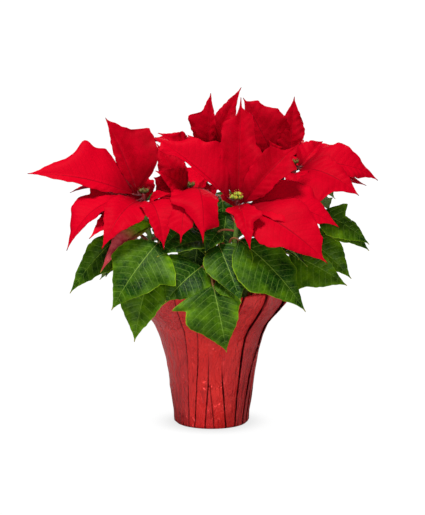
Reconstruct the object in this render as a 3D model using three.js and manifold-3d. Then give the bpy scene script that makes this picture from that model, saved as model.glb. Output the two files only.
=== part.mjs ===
// A potted poinsettia. One short woody stem forks into six leafy stems. Each ends in a rosette of red
// bracts, the coloured leaves, round a cluster of small yellow-green flower cups. The plant grows in a
// thin plastic pot of soil, and the pot stands in a pleated, flared foil cover.
// Millimetres, +Z up, the origin at the centre of the cover's foot, the front towards -Y.

import * as THREE from 'three';
import Module from 'manifold-3d';

const wasm = await Module();
wasm.setup();

// ---------- driving dimensions ----------

const GAP = 0.3; // clearance between two separate pieces

// Pleated cover: the outer wall's [radius, height] from the foot to the ruffled rim.
const COVER_WALL = 1;
const COVER_FOOT_RADIUS = 44.5;
const COVER_PROFILE = [
  [47, 2.5], [54.6, 64], [65, 113], [71.7, 128], [91, 151], [100, 163], [105, 178],
];
const COVER_WAIST = 128; // height where the cover starts to flare
const FRONT_PLEATS = [-51, -37, -26, -11, -1, 19, 38, 53, 65]; // degrees round from the front
const OTHER_PLEATS = 12;
const PLEAT_SPREAD = 0.35; // how unevenly the other pleats are spaced
const PLEAT_CREST = 0.2; // share of a pleat's width where its fold stands proudest
const PLEAT_DEPTHS = [0.35, 1.1, 3]; // half depth at the foot, the waist and the rim
const PLEAT_LEAN = 5; // degrees a pleat leans by at the rim
const RIM_WAVES = [[3, 1, 3.2], [7, 2, 2.4]]; // waves round the rim, phase, height
const PLEAT_SEED = 11;

// Grower's pot, soil and woody stem.
const POT = { wall: 1.2, footRadius: 42, topRadius: 56, lipRadius: 57.6, lipDrop: 10, height: 108 };
const POT_HOLES = { count: 4, radius: 4, circle: 26, sides: 6 }; // drain holes in its floor
const POT_SIDES = 20;
const SOIL_HEIGHT = 95;
const SOIL_RINGS = [1, 0.8, 0.55, 0.3]; // shares of the way out where the soil's surface rolls
const SOIL_BUMP = 1.2;
const TRUNK = { radius: 6.4, top: 127, depth: 45, sides: 9, wobble: 0.5, bevel: 3 };

// Leafy stems.
const STEM = { foot: 3.7, top: 3.1, sides: 6, rings: 6 }; // radii at the trunk and under the head
const STEM_BEND = { shoulderReach: 0.45, shoulderRise: 24, neckReach: 0.9, neckDrop: 50 };
const RED_STEM = { length: 24, radius: 2.9, sides: 6 }; // the stem's coloured top

// Flower cups: [radius, height] along one cup, and how the cups of a cluster stand.
const CUP_PROFILE = [[1, 0], [2.2, 1.9], [2.1, 4], [0.9, 5.4]];
const CUP_SIDES = 5;
const CUP_RING = 3.5; // how far out the outer cups stand
const CUP_TILT = 20;
const LARGE_CLUSTER = 5; // cups round the middle one
const SMALL_CLUSTER = 3;
const CLUSTER_BASE = [[2.6, 0], [3.4, 1.6]];

// Blades. The outline rises as t^rise and falls as (1-t)^fall; the stalk is the first share of the length.
const BRACT = { stalk: 0.1, stalkHalf: 1.5, rise: 1.1, fall: 1.6, bow: 0.12 };
const LEAF = { stalk: 0.22, stalkHalf: 1.4, rise: 0.8, fall: 1.55, bow: 0.1 };
const BLADE_THICKNESS = 0.8;
const STALK_THICKNESS = 2.2;
const WAVE_HEIGHT = 1.6;
const WAVES = 2.3; // waves along one edge
const BLADE_STATIONS = [0, 0.18, 0.4, 0.65, 0.86];
const BRACT_ROOT = 1.6; // a bract's stalk starts this far from its stem's centre line
const BRACT_CLEARANCE = 9; // a bract's stalk reaches this far out before it turns up
const BRACT_LIFT = 0.05; // share of a bract's rise that its stalk takes
const BRACT_SPACING = 1.7; // each bract grows this much lower on its stem than the last
const TOOTH_RAMP = 0.26; // share of the length over which a tooth swells
const TOOTH_DROP = 0.1; // and over which it falls away
const NOTCH_LENGTH = 0.25; // the edge draws in behind a tooth over this share of the length
const NOTCH_DEPTH = 0.25; // and by this share of the tooth's height
const TOOTH_SWEEP = 0.25; // a tooth leans towards the tip by this share of its height
const TIP_HALF = 0.4; // half width at the very tip
const TIP_TAPER = 12; // how fast the edge opens behind it
const FULL_WAVE_HALF = 12; // narrower blades wave less
const STATION_MERGE = 0.06; // even steps nearer than this to a tooth are left out
const PHASE_STEP = 1.7; // shifts the edge waves from one blade to the next

// Blades at the sides and back are alike but for their turn, rise, length and half width.
const SIDE_BRACT = { fold: 12, arch: 0.12, teeth: [[0.55, 3], [-0.6, 3]], toothedFrom: 28 };
const SIDE_LEAF = { fold: 8, arch: 0.08, stalkShare: 0.33, stalkRise: 52, bladeShare: 0.8 };
const SIDE_FACE_TILT = 0.9; // how far a side blade's face follows its rise

// The six stems. Points are in the object's frame. `top` is the top of the red stem and `fork` the height
// where the branch leaves the trunk. A blade has its tip, half widths left and right, the direction that it
// faces, the fold along its midrib in degrees, the arch of its midrib, and teeth [place, height], with
// places on the left edge negative. `at` is a leaf's place along its stem. Side bracts are
// [turn, rise, length, half width], and side leaves the same after their `at`; angles are in degrees.
const HEADS = [
  {
    name: 'front_right',
    top: [31, -60, 290],
    fork: 116,
    bracts: [
      {
        tip: [-68, -55, 365], half: [5, 34], face: [0, -0.8, 0.6], fold: 14,
        arch: 8, teeth: [[0.45, 7], [0.68, 6], [-0.85, 13]],
      },
      {
        tip: [46, -125, 238], half: [16, 14], face: [0, -0.75, 0.6], fold: 16,
        arch: 14, teeth: [[0.33, 8], [-0.5, 9]],
      },
      {
        tip: [138, -122, 221], half: [40, 36], face: [0.05, -0.75, 0.65], fold: 4,
        arch: 14, teeth: [[-0.8, 5], [0.5, 4]],
      },
      {
        tip: [155, -72, 257], half: [42, 30], face: [0.1, -0.6, 0.8], fold: 4,
        arch: 16, teeth: [[-0.58, 7]],
      },
      {
        tip: [108, -48, 357], half: [22, 20], face: [-0.25, -0.9, 0.3], fold: 20,
        arch: 12, teeth: [[0.68, 13], [0.86, 6], [-0.7, 7]],
      },
      {
        tip: [36, -25, 411], half: [25, 25], face: [0, -0.95, 0.3], fold: 20,
        arch: 6, teeth: [[0.45, 5], [0.8, 7], [-0.72, 9]],
      },
    ],
    sideBracts: [[95, 5, 60, 18]],
    leaves: [
      {
        at: 0.38, base: [2, -110, 192], tip: [18, -124, 114], half: [25, 44], face: [0, -0.8, 0.6],
        fold: 6, arch: 8, teeth: [[0.2, 18], [0.55, 3], [-0.3, 4]],
      },
      {
        at: 0.45, base: [6, -106, 198], tip: [29, -120, 176], half: [11, 11], face: [0, -0.8, 0.6],
        fold: 6, arch: 3, teeth: [],
      },
      {
        at: 0.75, base: [9, -78, 237], tip: [35, -130, 176], half: [33, 28], face: [0, -0.8, 0.5],
        fold: 8, arch: 4, teeth: [],
      },
      {
        at: 0.62, base: [34, -82, 243], tip: [113, -108, 160], half: [28, 44], face: [0.2, -0.8, 0.6],
        fold: 4, arch: 12, teeth: [[-0.6, 4], [0.5, 5]],
      },
      {
        at: 0.9, base: [8, -74, 252], tip: [-8, -94, 230], half: [13, 13], face: [0, -0.8, 0.6],
        fold: 10, arch: 4, teeth: [],
      },
      {
        at: 0.95, base: [18, -42, 272], tip: [12, -58, 226], half: [28, 26], face: [0.1, -0.9, 0.3],
        fold: 8, arch: 5, teeth: [],
      },
    ],
    sideLeaves: [[0.8, -10, -30, 90, 26]],
  },
  {
    name: 'left',
    top: [-83, -25, 293],
    fork: 106,
    bracts: [
      {
        tip: [-224, -48, 320], half: [14, 40], face: [0, -0.75, 0.66], fold: 12,
        arch: 12, teeth: [[0.52, 12], [0.3, 9]],
      },
      {
        tip: [-131, 0, 384], half: [12, 44], face: [0.1, -0.9, 0.3], fold: 24,
        arch: 6, teeth: [[0.62, 11]],
      },
      {
        tip: [-175, -80, 230], half: [20, 34], face: [-0.3, -0.5, 0.8], fold: 8,
        arch: 26, teeth: [[0.28, 15], [0.1, 12]],
      },
      { tip: [-131, -108, 236], half: [28, 24], face: [0, -0.7, 0.7], fold: 8, arch: 20, teeth: [] },
      {
        tip: [-57, -98, 234], half: [30, 18], face: [0.15, -0.75, 0.6], fold: 10,
        arch: 25, teeth: [[0.85, 4]],
      },
      { tip: [-147, -90, 246], half: [15, 17], face: [-0.1, -0.7, 0.7], fold: 8, arch: 8, teeth: [] },
      { tip: [-50, -60, 297], half: [8, 11], face: [0, -0.8, 0.6], fold: 10, arch: 6, teeth: [] },
    ],
    sideBracts: [[150, 4, 110, 30], [112, 15, 90, 27], [185, -20, 92, 28]],
    leaves: [
      {
        at: 0.4, base: [-72, -70, 210], tip: [-93, -102, 122], half: [31, 34], face: [-0.1, -0.85, 0.5],
        fold: 8, arch: 10, teeth: [[0.45, 4], [-0.4, 4]],
      },
      {
        at: 0.6, base: [-112, -10, 240], tip: [-176, -20, 167], half: [28, 19], face: [-0.3, -0.8, 0.5],
        fold: 10, arch: 8, teeth: [[-0.45, 4]],
      },
      {
        at: 0.7, base: [-100, 5, 235], tip: [-132, -5, 185], half: [22, 22], face: [-0.3, -0.8, 0.5],
        fold: 10, arch: 8, teeth: [],
      },
      {
        at: 0.8, base: [-65, -76, 239], tip: [-120, -108, 162], half: [42, 33], face: [-0.1, -0.85, 0.5],
        fold: 6, arch: 10, teeth: [[-0.35, 13], [0.45, 4]],
      },
      {
        at: 0.92, base: [-69, -40, 256], tip: [-135, -75, 202], half: [18, 18], face: [-0.2, -0.5, 0.8],
        fold: 35, arch: 10, teeth: [],
      },
    ],
    sideLeaves: [[0.5, 140, -18, 115, 34], [0.7, 128, -4, 110, 32], [0.62, 160, -4, 85, 27]],
  },
  {
    name: 'middle',
    top: [-27, -5, 298],
    fork: 124,
    bracts: [
      {
        tip: [-10, -114, 244], half: [25, 36], face: [0.2, -0.75, 0.62], fold: -20,
        arch: 33, teeth: [[0.55, 6], [-0.82, 15]],
      },
      {
        tip: [-37, -103, 242], half: [20, 18], face: [0, -0.75, 0.66], fold: 2,
        arch: 27, teeth: [[0.84, 13], [-0.84, 7]],
      },
      { tip: [-68, -54, 324], half: [20, 20], face: [0, -0.9, 0.4], fold: 10, arch: 10, teeth: [] },
      { tip: [-68, 14, 350], half: [18, 18], face: [0, -0.85, 0.4], fold: 16, arch: 6, teeth: [] },
      { tip: [-72, 12, 308], half: [22, 20], face: [0, -0.9, 0.3], fold: 10, arch: 4, teeth: [] },
      { tip: [8, 8, 294], half: [14, 14], face: [0, -0.9, 0.3], fold: 10, arch: 4, teeth: [] },
    ],
    sideBracts: [[95, 20, 80, 24], [40, 35, 55, 16]],
    leaves: [
      {
        at: 0.55, base: [-12, -84, 211], tip: [-56, -110, 172], half: [34, 38], face: [0, -0.85, 0.5],
        fold: 4, arch: 8, teeth: [[-0.4, 4]],
      },
      {
        at: 0.85, base: [-2, -55, 238], tip: [-66, -94, 224], half: [22, 22], face: [0, -0.5, 0.85],
        fold: 12, arch: 8, teeth: [],
      },
      {
        at: 0.7, base: [-16, -16, 240], tip: [-22, -22, 190], half: [26, 26], face: [0, -0.9, 0.3],
        fold: 8, arch: 4, teeth: [],
      },
      {
        at: 0.9, base: [-52, 12, 268], tip: [-64, 14, 216], half: [26, 19], face: [0, -0.9, 0.3],
        fold: 8, arch: 4, teeth: [],
      },
      {
        at: 0.95, base: [-16, 22, 276], tip: [-24, 26, 218], half: [26, 26], face: [0, -0.9, 0.3],
        fold: 8, arch: 4, teeth: [],
      },
      {
        at: 0.85, base: [14, 4, 280], tip: [15, 2, 228], half: [17, 17], face: [0, -0.95, 0.25],
        fold: 8, arch: 4, teeth: [],
      },
    ],
    sideLeaves: [[0.75, -75, -25, 60, 24]],
  },
  {
    name: 'back_left',
    top: [-8, 75, 332],
    fork: 110,
    bracts: [
      {
        tip: [-1, 60, 410], half: [22, 9], face: [0, -0.95, 0.3], fold: 16,
        arch: 4, teeth: [[-0.6, 11]],
      },
      { tip: [38, 90, 415], half: [16, 16], face: [-0.3, -0.9, 0.3], fold: 30, arch: 4, teeth: [] },
      {
        tip: [-68, 52, 360], half: [13, 13], face: [0, -0.7, 0.7], fold: 20,
        arch: 5, teeth: [[0.3, 3], [0.55, 3]],
      },
      {
        tip: [-34, 38, 352], half: [12, 12], face: [0, -0.8, 0.6], fold: 20,
        arch: 5, teeth: [[0.4, 3]],
      },
      {
        tip: [14, 40, 350], half: [11, 11], face: [0, -0.8, 0.6], fold: 20,
        arch: 5, teeth: [[-0.4, 3]],
      },
    ],
    sideBracts: [[95, -3, 115, 31], [140, 8, 115, 30], [50, 8, 110, 29], [175, -2, 100, 27],
      [15, -5, 70, 22], [120, 40, 60, 18]],
    leaves: [],
    sideLeaves: [[0.42, 95, -35, 120, 34], [0.55, 145, -25, 120, 34], [0.68, 60, -25, 110, 33],
      [0.78, 175, -25, 110, 31], [0.88, 110, -20, 110, 32], [0.8, -60, -20, 75, 27]],
  },
  {
    name: 'back_right',
    top: [90, 70, 322],
    fork: 103,
    bracts: [
      {
        tip: [40, 60, 404], half: [22, 35], face: [0, -0.95, 0.3], fold: 10,
        arch: 6, teeth: [[0.85, 7], [0.64, 5]],
      },
      {
        tip: [105, 65, 405], half: [18, 18], face: [0, -0.95, 0.3], fold: 14,
        arch: 4, teeth: [[0.2, 12]],
      },
      { tip: [72, 42, 352], half: [12, 12], face: [0, -0.8, 0.6], fold: 20, arch: 5, teeth: [] },
    ],
    sideBracts: [[90, 8, 110, 31], [50, 4, 115, 31], [12, -6, 105, 29], [130, 12, 100, 27],
      [70, 40, 60, 18]],
    leaves: [],
    sideLeaves: [[0.45, 60, -35, 120, 34], [0.92, 100, -18, 85, 27], [0.58, 25, -30, 110, 32],
      [0.7, 90, -20, 115, 33], [0.82, 45, -15, 110, 31], [0.85, -118, -15, 62, 24]],
  },
  {
    name: 'right',
    top: [103, 12, 325],
    fork: 120,
    bracts: [
      {
        tip: [208, 16, 304], half: [27, 24], face: [0, -0.7, 0.7], fold: 8,
        arch: 18, teeth: [[-0.45, 4]],
      },
      {
        tip: [181, -32, 291], half: [22, 46], face: [0.1, -0.75, 0.65], fold: 8,
        arch: 14, teeth: [[0.62, 13], [-0.3, 6]],
      },
      { tip: [194, 20, 297], half: [18, 18], face: [0, -0.4, 0.9], fold: 10, arch: 4, teeth: [] },
      { tip: [140, 46, 350], half: [18, 16], face: [0.1, -0.8, 0.5], fold: 8, arch: 8, teeth: [] },
      {
        tip: [114, -35, 272], half: [22, 22], face: [0, -0.85, 0.5], fold: 10,
        arch: 8, teeth: [[0.6, 4], [-0.5, 3]],
      },
      { tip: [106, -32, 300], half: [16, 16], face: [0, -0.85, 0.5], fold: 10, arch: 6, teeth: [] },
    ],
    sideBracts: [[36, 15, 95, 26], [103, 34, 42, 15], [160, 28, 50, 17]],
    leaves: [
      {
        at: 0.45, base: [97, -20, 217], tip: [167, -40, 180], half: [18, 38], face: [0, -0.85, 0.5],
        fold: 6, arch: 8, teeth: [[0.4, 5]],
      },
      {
        at: 0.6, base: [115, 20, 235], tip: [175, 0, 182], half: [27, 22], face: [0, -0.85, 0.5],
        fold: 6, arch: 8, teeth: [[-0.35, 5]],
      },
      {
        at: 0.75, base: [138, 20, 256], tip: [198, 15, 215], half: [17, 26], face: [0, -0.6, 0.8],
        fold: 6, arch: 8, teeth: [],
      },
      {
        at: 0.88, base: [134, 0, 266], tip: [196, -10, 227], half: [15, 28], face: [0, -0.7, 0.7],
        fold: 6, arch: 8, teeth: [[-0.3, 12]],
      },
    ],
    sideLeaves: [[0.5, 36, -28, 108, 32], [0.55, -60, -12, 70, 26], [0.8, 50, -20, 90, 28],
      [0.85, -120, -24, 70, 24]],
  },
];

// ---------- small helpers ----------

const degrees = THREE.MathUtils.degToRad;
const clamp = THREE.MathUtils.clamp;
const UP = new THREE.Vector3(0, 0, 1);

function vec(list) {
  return new THREE.Vector3(...list);
}

function lerp(a, b, t) {
  return a + (b - a) * t;
}

function seededRandom(seed) {
  let state = seed;
  return () => {
    state = (state * 16807) % 2147483647;
    return state / 2147483647;
  };
}

// Value of a [value, height] profile at a height.
function profileAt(profile, height) {
  const last = profile.length - 1;
  if (height <= profile[0][1]) return profile[0][0];
  if (height >= profile[last][1]) return profile[last][0];
  const i = profile.findIndex((point) => point[1] > height);
  const [r0, z0] = profile[i - 1];
  const [r1, z1] = profile[i];
  return lerp(r0, r1, (height - z0) / (z1 - z0));
}

// ---------- solids ----------

function signedVolume(points, faces) {
  let total = 0;
  for (const [a, b, c] of faces) {
    total += points[a].dot(new THREE.Vector3().crossVectors(points[b], points[c]));
  }
  return total / 6;
}

function solidFrom(points, faces) {
  const outward = signedVolume(points, faces) > 0;
  const ordered = outward ? faces : faces.map(([a, b, c]) => [a, c, b]);
  return new wasm.Manifold(new wasm.Mesh({
    numProp: 3,
    vertProperties: new Float32Array(points.flatMap((point) => point.toArray())),
    triVerts: new Uint32Array(ordered.flat()),
  }));
}

// A stack of equal rings, skinned and closed by a flat fan at each end.
function skin(rings) {
  const count = rings[0].length;
  const faces = [];
  for (let ring = 0; ring < rings.length - 1; ring += 1) {
    for (let i = 0; i < count; i += 1) {
      const a = ring * count + i;
      const b = ring * count + ((i + 1) % count);
      faces.push([a, b, b + count], [a, b + count, a + count]);
    }
  }
  const lastRing = (rings.length - 1) * count;
  for (let i = 1; i < count - 1; i += 1) {
    faces.push([0, i + 1, i], [lastRing, lastRing + i, lastRing + i + 1]);
  }
  return solidFrom(rings.flat(), faces);
}

// A ring of points round a centre, across an axis; `side` is a direction square to the axis.
function ringAround(centre, axis, side, radius, sides) {
  const other = new THREE.Vector3().crossVectors(axis, side).normalize();
  return Array.from({ length: sides }, (_, i) => {
    const angle = (2 * Math.PI * i) / sides;
    return centre.clone()
      .addScaledVector(side, radius * Math.cos(angle))
      .addScaledVector(other, radius * Math.sin(angle));
  });
}

// A turned solid from [radius, height] rings, along an axis from a foot.
function turned(profile, sides, foot = new THREE.Vector3(), axis = UP) {
  const side = Math.abs(axis.z) > 0.9 ? new THREE.Vector3(1, 0, 0) : UP.clone();
  side.addScaledVector(axis, -side.dot(axis)).normalize();
  return skin(profile.map(([radius, height]) => {
    const centre = foot.clone().addScaledVector(axis, height);
    return ringAround(centre, axis, side, radius, sides);
  }));
}

function joined(solids) {
  return solids.reduce((whole, solid) => whole.add(solid));
}

// ---------- pleated cover ----------

// Angles of every pleat's crease, round the cover from the front, with the lean of each.
function coverPleats() {
  const random = seededRandom(PLEAT_SEED);
  const first = FRONT_PLEATS[0];
  const last = FRONT_PLEATS[FRONT_PLEATS.length - 1];
  const widths = Array.from({ length: OTHER_PLEATS + 1 }, () => 1 + PLEAT_SPREAD * (2 * random() - 1));
  const total = widths.reduce((sum, width) => sum + width, 0);
  const angles = [...FRONT_PLEATS];
  let angle = last;
  for (const width of widths.slice(0, -1)) {
    angle += (width / total) * (360 + first - last);
    angles.push(angle);
  }
  return angles.map((crease) => ({ crease, lean: PLEAT_LEAN * (2 * random() - 1) }));
}

function pleatDepth(height) {
  const [foot, waist, rim] = PLEAT_DEPTHS;
  const top = COVER_PROFILE[COVER_PROFILE.length - 1][1];
  if (height < COVER_WAIST) return lerp(foot, waist, height / COVER_WAIST);
  return lerp(waist, rim, (height - COVER_WAIST) / (top - COVER_WAIST));
}

// One ring of the cover's wall, with a point at each crease and one at each crest.
function coverRing(pleats, height, inset, depthShare) {
  const radius = profileAt(COVER_PROFILE, height) - inset;
  const top = COVER_PROFILE[COVER_PROFILE.length - 1][1];
  const flare = clamp((height - COVER_WAIST) / (top - COVER_WAIST), 0, 1);
  return pleats.flatMap(({ crease, lean }, i) => {
    const next = i + 1 < pleats.length ? pleats[i + 1].crease : pleats[0].crease + 360;
    const crest = lerp(crease, next, PLEAT_CREST);
    return [[crease, -1], [crest, 1]].map(([angle, swing]) => {
      const turn = degrees(angle + lean * flare - 90);
      const reach = radius + swing * depthShare * pleatDepth(height);
      const lift = RIM_WAVES
        .map(([waves, phase, size]) => size * Math.sin(waves * turn + phase))
        .reduce((sum, wave) => sum + wave, 0);
      return vec([reach * Math.cos(turn), reach * Math.sin(turn), height + flare * lift]);
    });
  });
}

function coverSolid() {
  const pleats = coverPleats();
  const heights = COVER_PROFILE.map((point) => point[1]);
  const foot = coverRing(pleats, 0, COVER_PROFILE[0][0] - COVER_FOOT_RADIUS, 0);
  const outer = heights.map((height) => coverRing(pleats, height, 0, 1));
  const inner = heights.slice(1).reverse().map((height) => coverRing(pleats, height, COVER_WALL, 1));
  const floorInset = COVER_PROFILE[0][0] - COVER_FOOT_RADIUS + COVER_WALL;
  const floor = coverRing(pleats, 0, floorInset, 0).map((point) => point.setZ(COVER_WALL));
  return skin([foot, ...outer, ...inner, floor]);
}

// ---------- grower's pot, soil and woody stem ----------

function potRadius(height) {
  return lerp(POT.footRadius, POT.topRadius, height / POT.height);
}

function growerPotSolid() {
  const lipFoot = POT.height - POT.lipDrop;
  const shell = turned([
    [POT.footRadius, 0],
    [potRadius(lipFoot), lipFoot],
    [POT.lipRadius, lipFoot + 1],
    [POT.lipRadius, POT.height],
    [potRadius(POT.height) - POT.wall, POT.height],
    [potRadius(POT.wall) - POT.wall, POT.wall],
  ], POT_SIDES);
  const holes = Array.from({ length: POT_HOLES.count }, (_, i) => {
    const angle = (2 * Math.PI * i) / POT_HOLES.count;
    const foot = vec([POT_HOLES.circle * Math.cos(angle), POT_HOLES.circle * Math.sin(angle), -1]);
    return turned([[POT_HOLES.radius, 0], [POT_HOLES.radius, POT.wall + 2]], POT_HOLES.sides, foot);
  });
  return holes.reduce((solid, hole) => solid.subtract(hole), shell);
}

// Soil in the pot's frame, from just above its floor, with a plain hole for the woody stem.
function soilSolid(soilTop, trunkFoot) {
  const floor = POT.wall + GAP;
  const hole = TRUNK.radius + TRUNK.wobble + GAP;
  const edge = potRadius(soilTop) - POT.wall - GAP;
  const rings = [
    [potRadius(floor) - POT.wall - GAP, floor, 0],
    ...SOIL_RINGS.map((share) => [lerp(hole, edge, share), soilTop, share < 1 ? 1 : 0]),
    [hole, soilTop, 0],
    [hole, trunkFoot - GAP, 0],
  ];
  return skin(rings.map(([radius, height, bump]) => {
    const ring = ringAround(vec([0, 0, height]), UP, vec([1, 0, 0]), radius, POT_SIDES);
    return ring.map((point, i) => {
      const roll = Math.sin(i * 2.1 + radius) * Math.cos(i * 0.9 - radius * 0.4);
      return point.setZ(height + bump * SOIL_BUMP * roll);
    });
  }));
}

function trunkSolid(foot, grow = 0) {
  const shoulder = TRUNK.top - TRUNK.bevel;
  const heights = [foot, lerp(foot, shoulder, 0.4), lerp(foot, shoulder, 0.7), shoulder, TRUNK.top + grow];
  return skin(heights.map((height, level) => {
    const taper = level === heights.length - 1 ? 0.7 : 1;
    const ring = ringAround(vec([0, 0, height]), UP, vec([1, 0, 0]), 1, TRUNK.sides);
    return ring.map((point, i) => {
      const reach = (TRUNK.radius + grow) * taper + TRUNK.wobble * Math.sin(i * 2.4 + level * 1.3);
      return vec([point.x * reach, point.y * reach, height]);
    });
  }));
}

// ---------- blades ----------

function outline(kind, t) {
  if (t <= 0 || t >= 1) return 0;
  const widest = kind.rise / (kind.rise + kind.fall);
  return (t / widest) ** kind.rise * ((1 - t) / (1 - widest)) ** kind.fall;
}

function tooth(t, place, height) {
  const past = t - place;
  if (past <= 0) return height * Math.max(0, 1 + past / TOOTH_RAMP) ** 1.5;
  const inNotch = past < NOTCH_LENGTH;
  const notch = inNotch ? NOTCH_DEPTH * height * Math.sin((Math.PI * past) / NOTCH_LENGTH) : 0;
  return height * Math.max(0, 1 - past / TOOTH_DROP) - notch;
}

// A blade on its stalk: the stalk runs from the stem to the base, and the midrib from the base to the tip.
function makeBlade(kind, stem, base, row, phase) {
  const tip = vec(row.tip);
  const face = vec(row.face).normalize();
  const chord = tip.clone().sub(base).normalize();
  const outward = face.clone().addScaledVector(chord, -face.dot(chord)).normalize();
  const bend = base.clone().add(tip).multiplyScalar(0.5).addScaledVector(outward, 2 * row.arch);
  const lead = bend.clone().sub(base).normalize().multiplyScalar(0.45 * base.distanceTo(stem));
  const stalk = new THREE.QuadraticBezierCurve3(stem, base.clone().sub(lead), base);
  const midrib = new THREE.QuadraticBezierCurve3(base, bend, tip);
  const fold = degrees(row.fold);

  // Midrib point, tangent, facing direction and the direction to the right, at a share u of the length.
  function frame(u) {
    const curve = u < kind.stalk ? stalk : midrib;
    const share = u < kind.stalk ? u / kind.stalk : (u - kind.stalk) / (1 - kind.stalk);
    const tangent = curve.getTangent(share);
    const normal = face.clone().addScaledVector(tangent, -face.dot(tangent)).normalize();
    const right = new THREE.Vector3().crossVectors(tangent, normal);
    return { centre: curve.getPoint(share), tangent, normal, right };
  }

  function teethAt(t, side) {
    return row.teeth
      .filter(([place]) => place * side > 0)
      .map(([place, height]) => tooth(t, Math.abs(place), height));
  }

  function halfWidth(t, side) {
    if (t <= 0) return kind.stalkHalf;
    const body = row.half[side < 0 ? 0 : 1] * outline(kind, t);
    const width = teethAt(t, side).reduce((sum, value) => sum + value, body);
    return Math.max(width, Math.min(kind.stalkHalf, TIP_HALF + (1 - t) * TIP_TAPER));
  }

  // The point on the middle surface at u along and v across, from -1 on the left edge to 1 on the right.
  function point(u, v) {
    const { centre, tangent, normal, right } = frame(u);
    const t = Math.max(0, (u - kind.stalk) / (1 - kind.stalk));
    const side = v < 0 ? -1 : 1;
    const across = Math.abs(v);
    const width = halfWidth(t, side);
    const ripple = Math.sin(2 * Math.PI * WAVES * t + phase + side) * 4 * t * (1 - t);
    const wave = WAVE_HEIGHT * across ** 2 * ripple * Math.min(1, width / FULL_WAVE_HALF);
    const bow = 2 * kind.bow * width * across * (1 - across);
    const sweep = teethAt(t, side).reduce((sum, value) => sum + TOOTH_SWEEP * Math.max(0, value), 0);
    return centre.clone()
      .addScaledVector(right, side * width * across * Math.cos(fold))
      .addScaledVector(normal, width * across * Math.sin(fold) + bow + wave)
      .addScaledVector(tangent, sweep * across ** 2);
  }

  return { kind, row, frame, point };
}

// Shares of the length where a blade has a cross-section: even steps, with each tooth and notch hit.
function bladeStations({ kind, row }) {
  let shares = [...BLADE_STATIONS];
  for (const [place] of row.teeth) {
    for (const wanted of [Math.abs(place), Math.abs(place) + TOOTH_DROP]) {
      shares = shares.filter((share) => share === 0 || Math.abs(share - wanted) >= STATION_MERGE);
      shares.push(wanted);
    }
  }
  const sorted = shares.filter((share) => share < 0.97).sort((a, b) => a - b);
  const along = sorted.map((share) => lerp(kind.stalk, 1, share));
  return [0, 0.6 * kind.stalk, ...along, 1];
}

// The closed solid of a blade: left edge, midrib and right edge on each face, split alike on both.
function bladeSolid(blade) {
  const columns = [-1, 0, 1];
  const stations = bladeStations(blade);
  const points = stations.flatMap((u) => {
    const { normal } = blade.frame(u);
    const inStalk = Math.max(0, 1 - u / blade.kind.stalk);
    const half = Math.max(BLADE_THICKNESS, STALK_THICKNESS * inStalk) / 2;
    const middle = columns.map((v) => blade.point(u, v));
    const front = middle.map((point) => point.clone().addScaledVector(normal, half));
    const back = middle.map((point) => point.clone().addScaledVector(normal, -half));
    return [...front, ...back];
  });
  const faces = [];
  const quad = (a, b, c, d) => faces.push([a, b, c], [a, c, d]);
  const ring = 2 * columns.length;
  for (let i = 0; i < stations.length - 1; i += 1) {
    const here = i * ring;
    const next = here + ring;
    quad(here, here + 1, next + 1, next);
    quad(here + 2, next + 2, next + 1, here + 1);
    quad(here + 5, here + 4, next + 4, next + 5);
    quad(here + 3, next + 3, next + 4, here + 4);
    quad(here, next, next + 3, here + 3);
    quad(here + 2, here + 5, next + 5, next + 2);
  }
  const end = (stations.length - 1) * ring;
  quad(0, 3, 4, 1);
  quad(1, 4, 5, 2);
  quad(end, end + 1, end + 4, end + 3);
  quad(end + 1, end + 2, end + 5, end + 4);
  return solidFrom(points, faces);
}

// ---------- stems, leaves, bracts and flowers ----------

function direction(turn, rise) {
  const level = Math.cos(rise);
  return vec([Math.cos(turn) * level, Math.sin(turn) * level, Math.sin(rise)]);
}

// Where a leafy stem runs: out of the trunk, and then nearly straight up under its head.
function stemCurve(head) {
  const foot = vec([0, 0, head.fork]);
  const top = vec(head.top).setZ(head.top[2] - RED_STEM.length);
  const { shoulderReach, shoulderRise, neckReach, neckDrop } = STEM_BEND;
  const shoulder = vec([shoulderReach * top.x, shoulderReach * top.y, head.fork + shoulderRise]);
  const neck = vec([neckReach * top.x, neckReach * top.y, top.z - neckDrop]);
  return new THREE.CubicBezierCurve3(foot, shoulder, neck, top);
}

function stemSolid(curve) {
  const top = curve.getPoint(1);
  const side = vec([-top.y, top.x, 0]).normalize();
  const rings = Array.from({ length: STEM.rings }, (_, i) => {
    const share = i / (STEM.rings - 1);
    const axis = i === STEM.rings - 1 ? UP : curve.getTangent(share);
    return ringAround(curve.getPoint(share), axis, side, lerp(STEM.foot, STEM.top, share), STEM.sides);
  });
  return skin(rings);
}

// A side blade faces up, and tilts back as it rises.
function sideFace(turn, rise) {
  const tilt = SIDE_FACE_TILT * rise;
  const lift = UP.clone().multiplyScalar(Math.cos(tilt));
  return lift.addScaledVector(direction(turn, 0), -Math.sin(tilt)).toArray();
}

function sideBractRow(root, [turnDegrees, riseDegrees, length, half]) {
  const turn = degrees(turnDegrees);
  const rise = degrees(riseDegrees);
  const tip = root.clone().addScaledVector(direction(turn, rise), length);
  return {
    tip: tip.toArray(),
    half: [half, half],
    face: sideFace(turn, rise),
    fold: SIDE_BRACT.fold,
    arch: SIDE_BRACT.arch * length,
    teeth: half >= SIDE_BRACT.toothedFrom ? SIDE_BRACT.teeth : [],
  };
}

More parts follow.
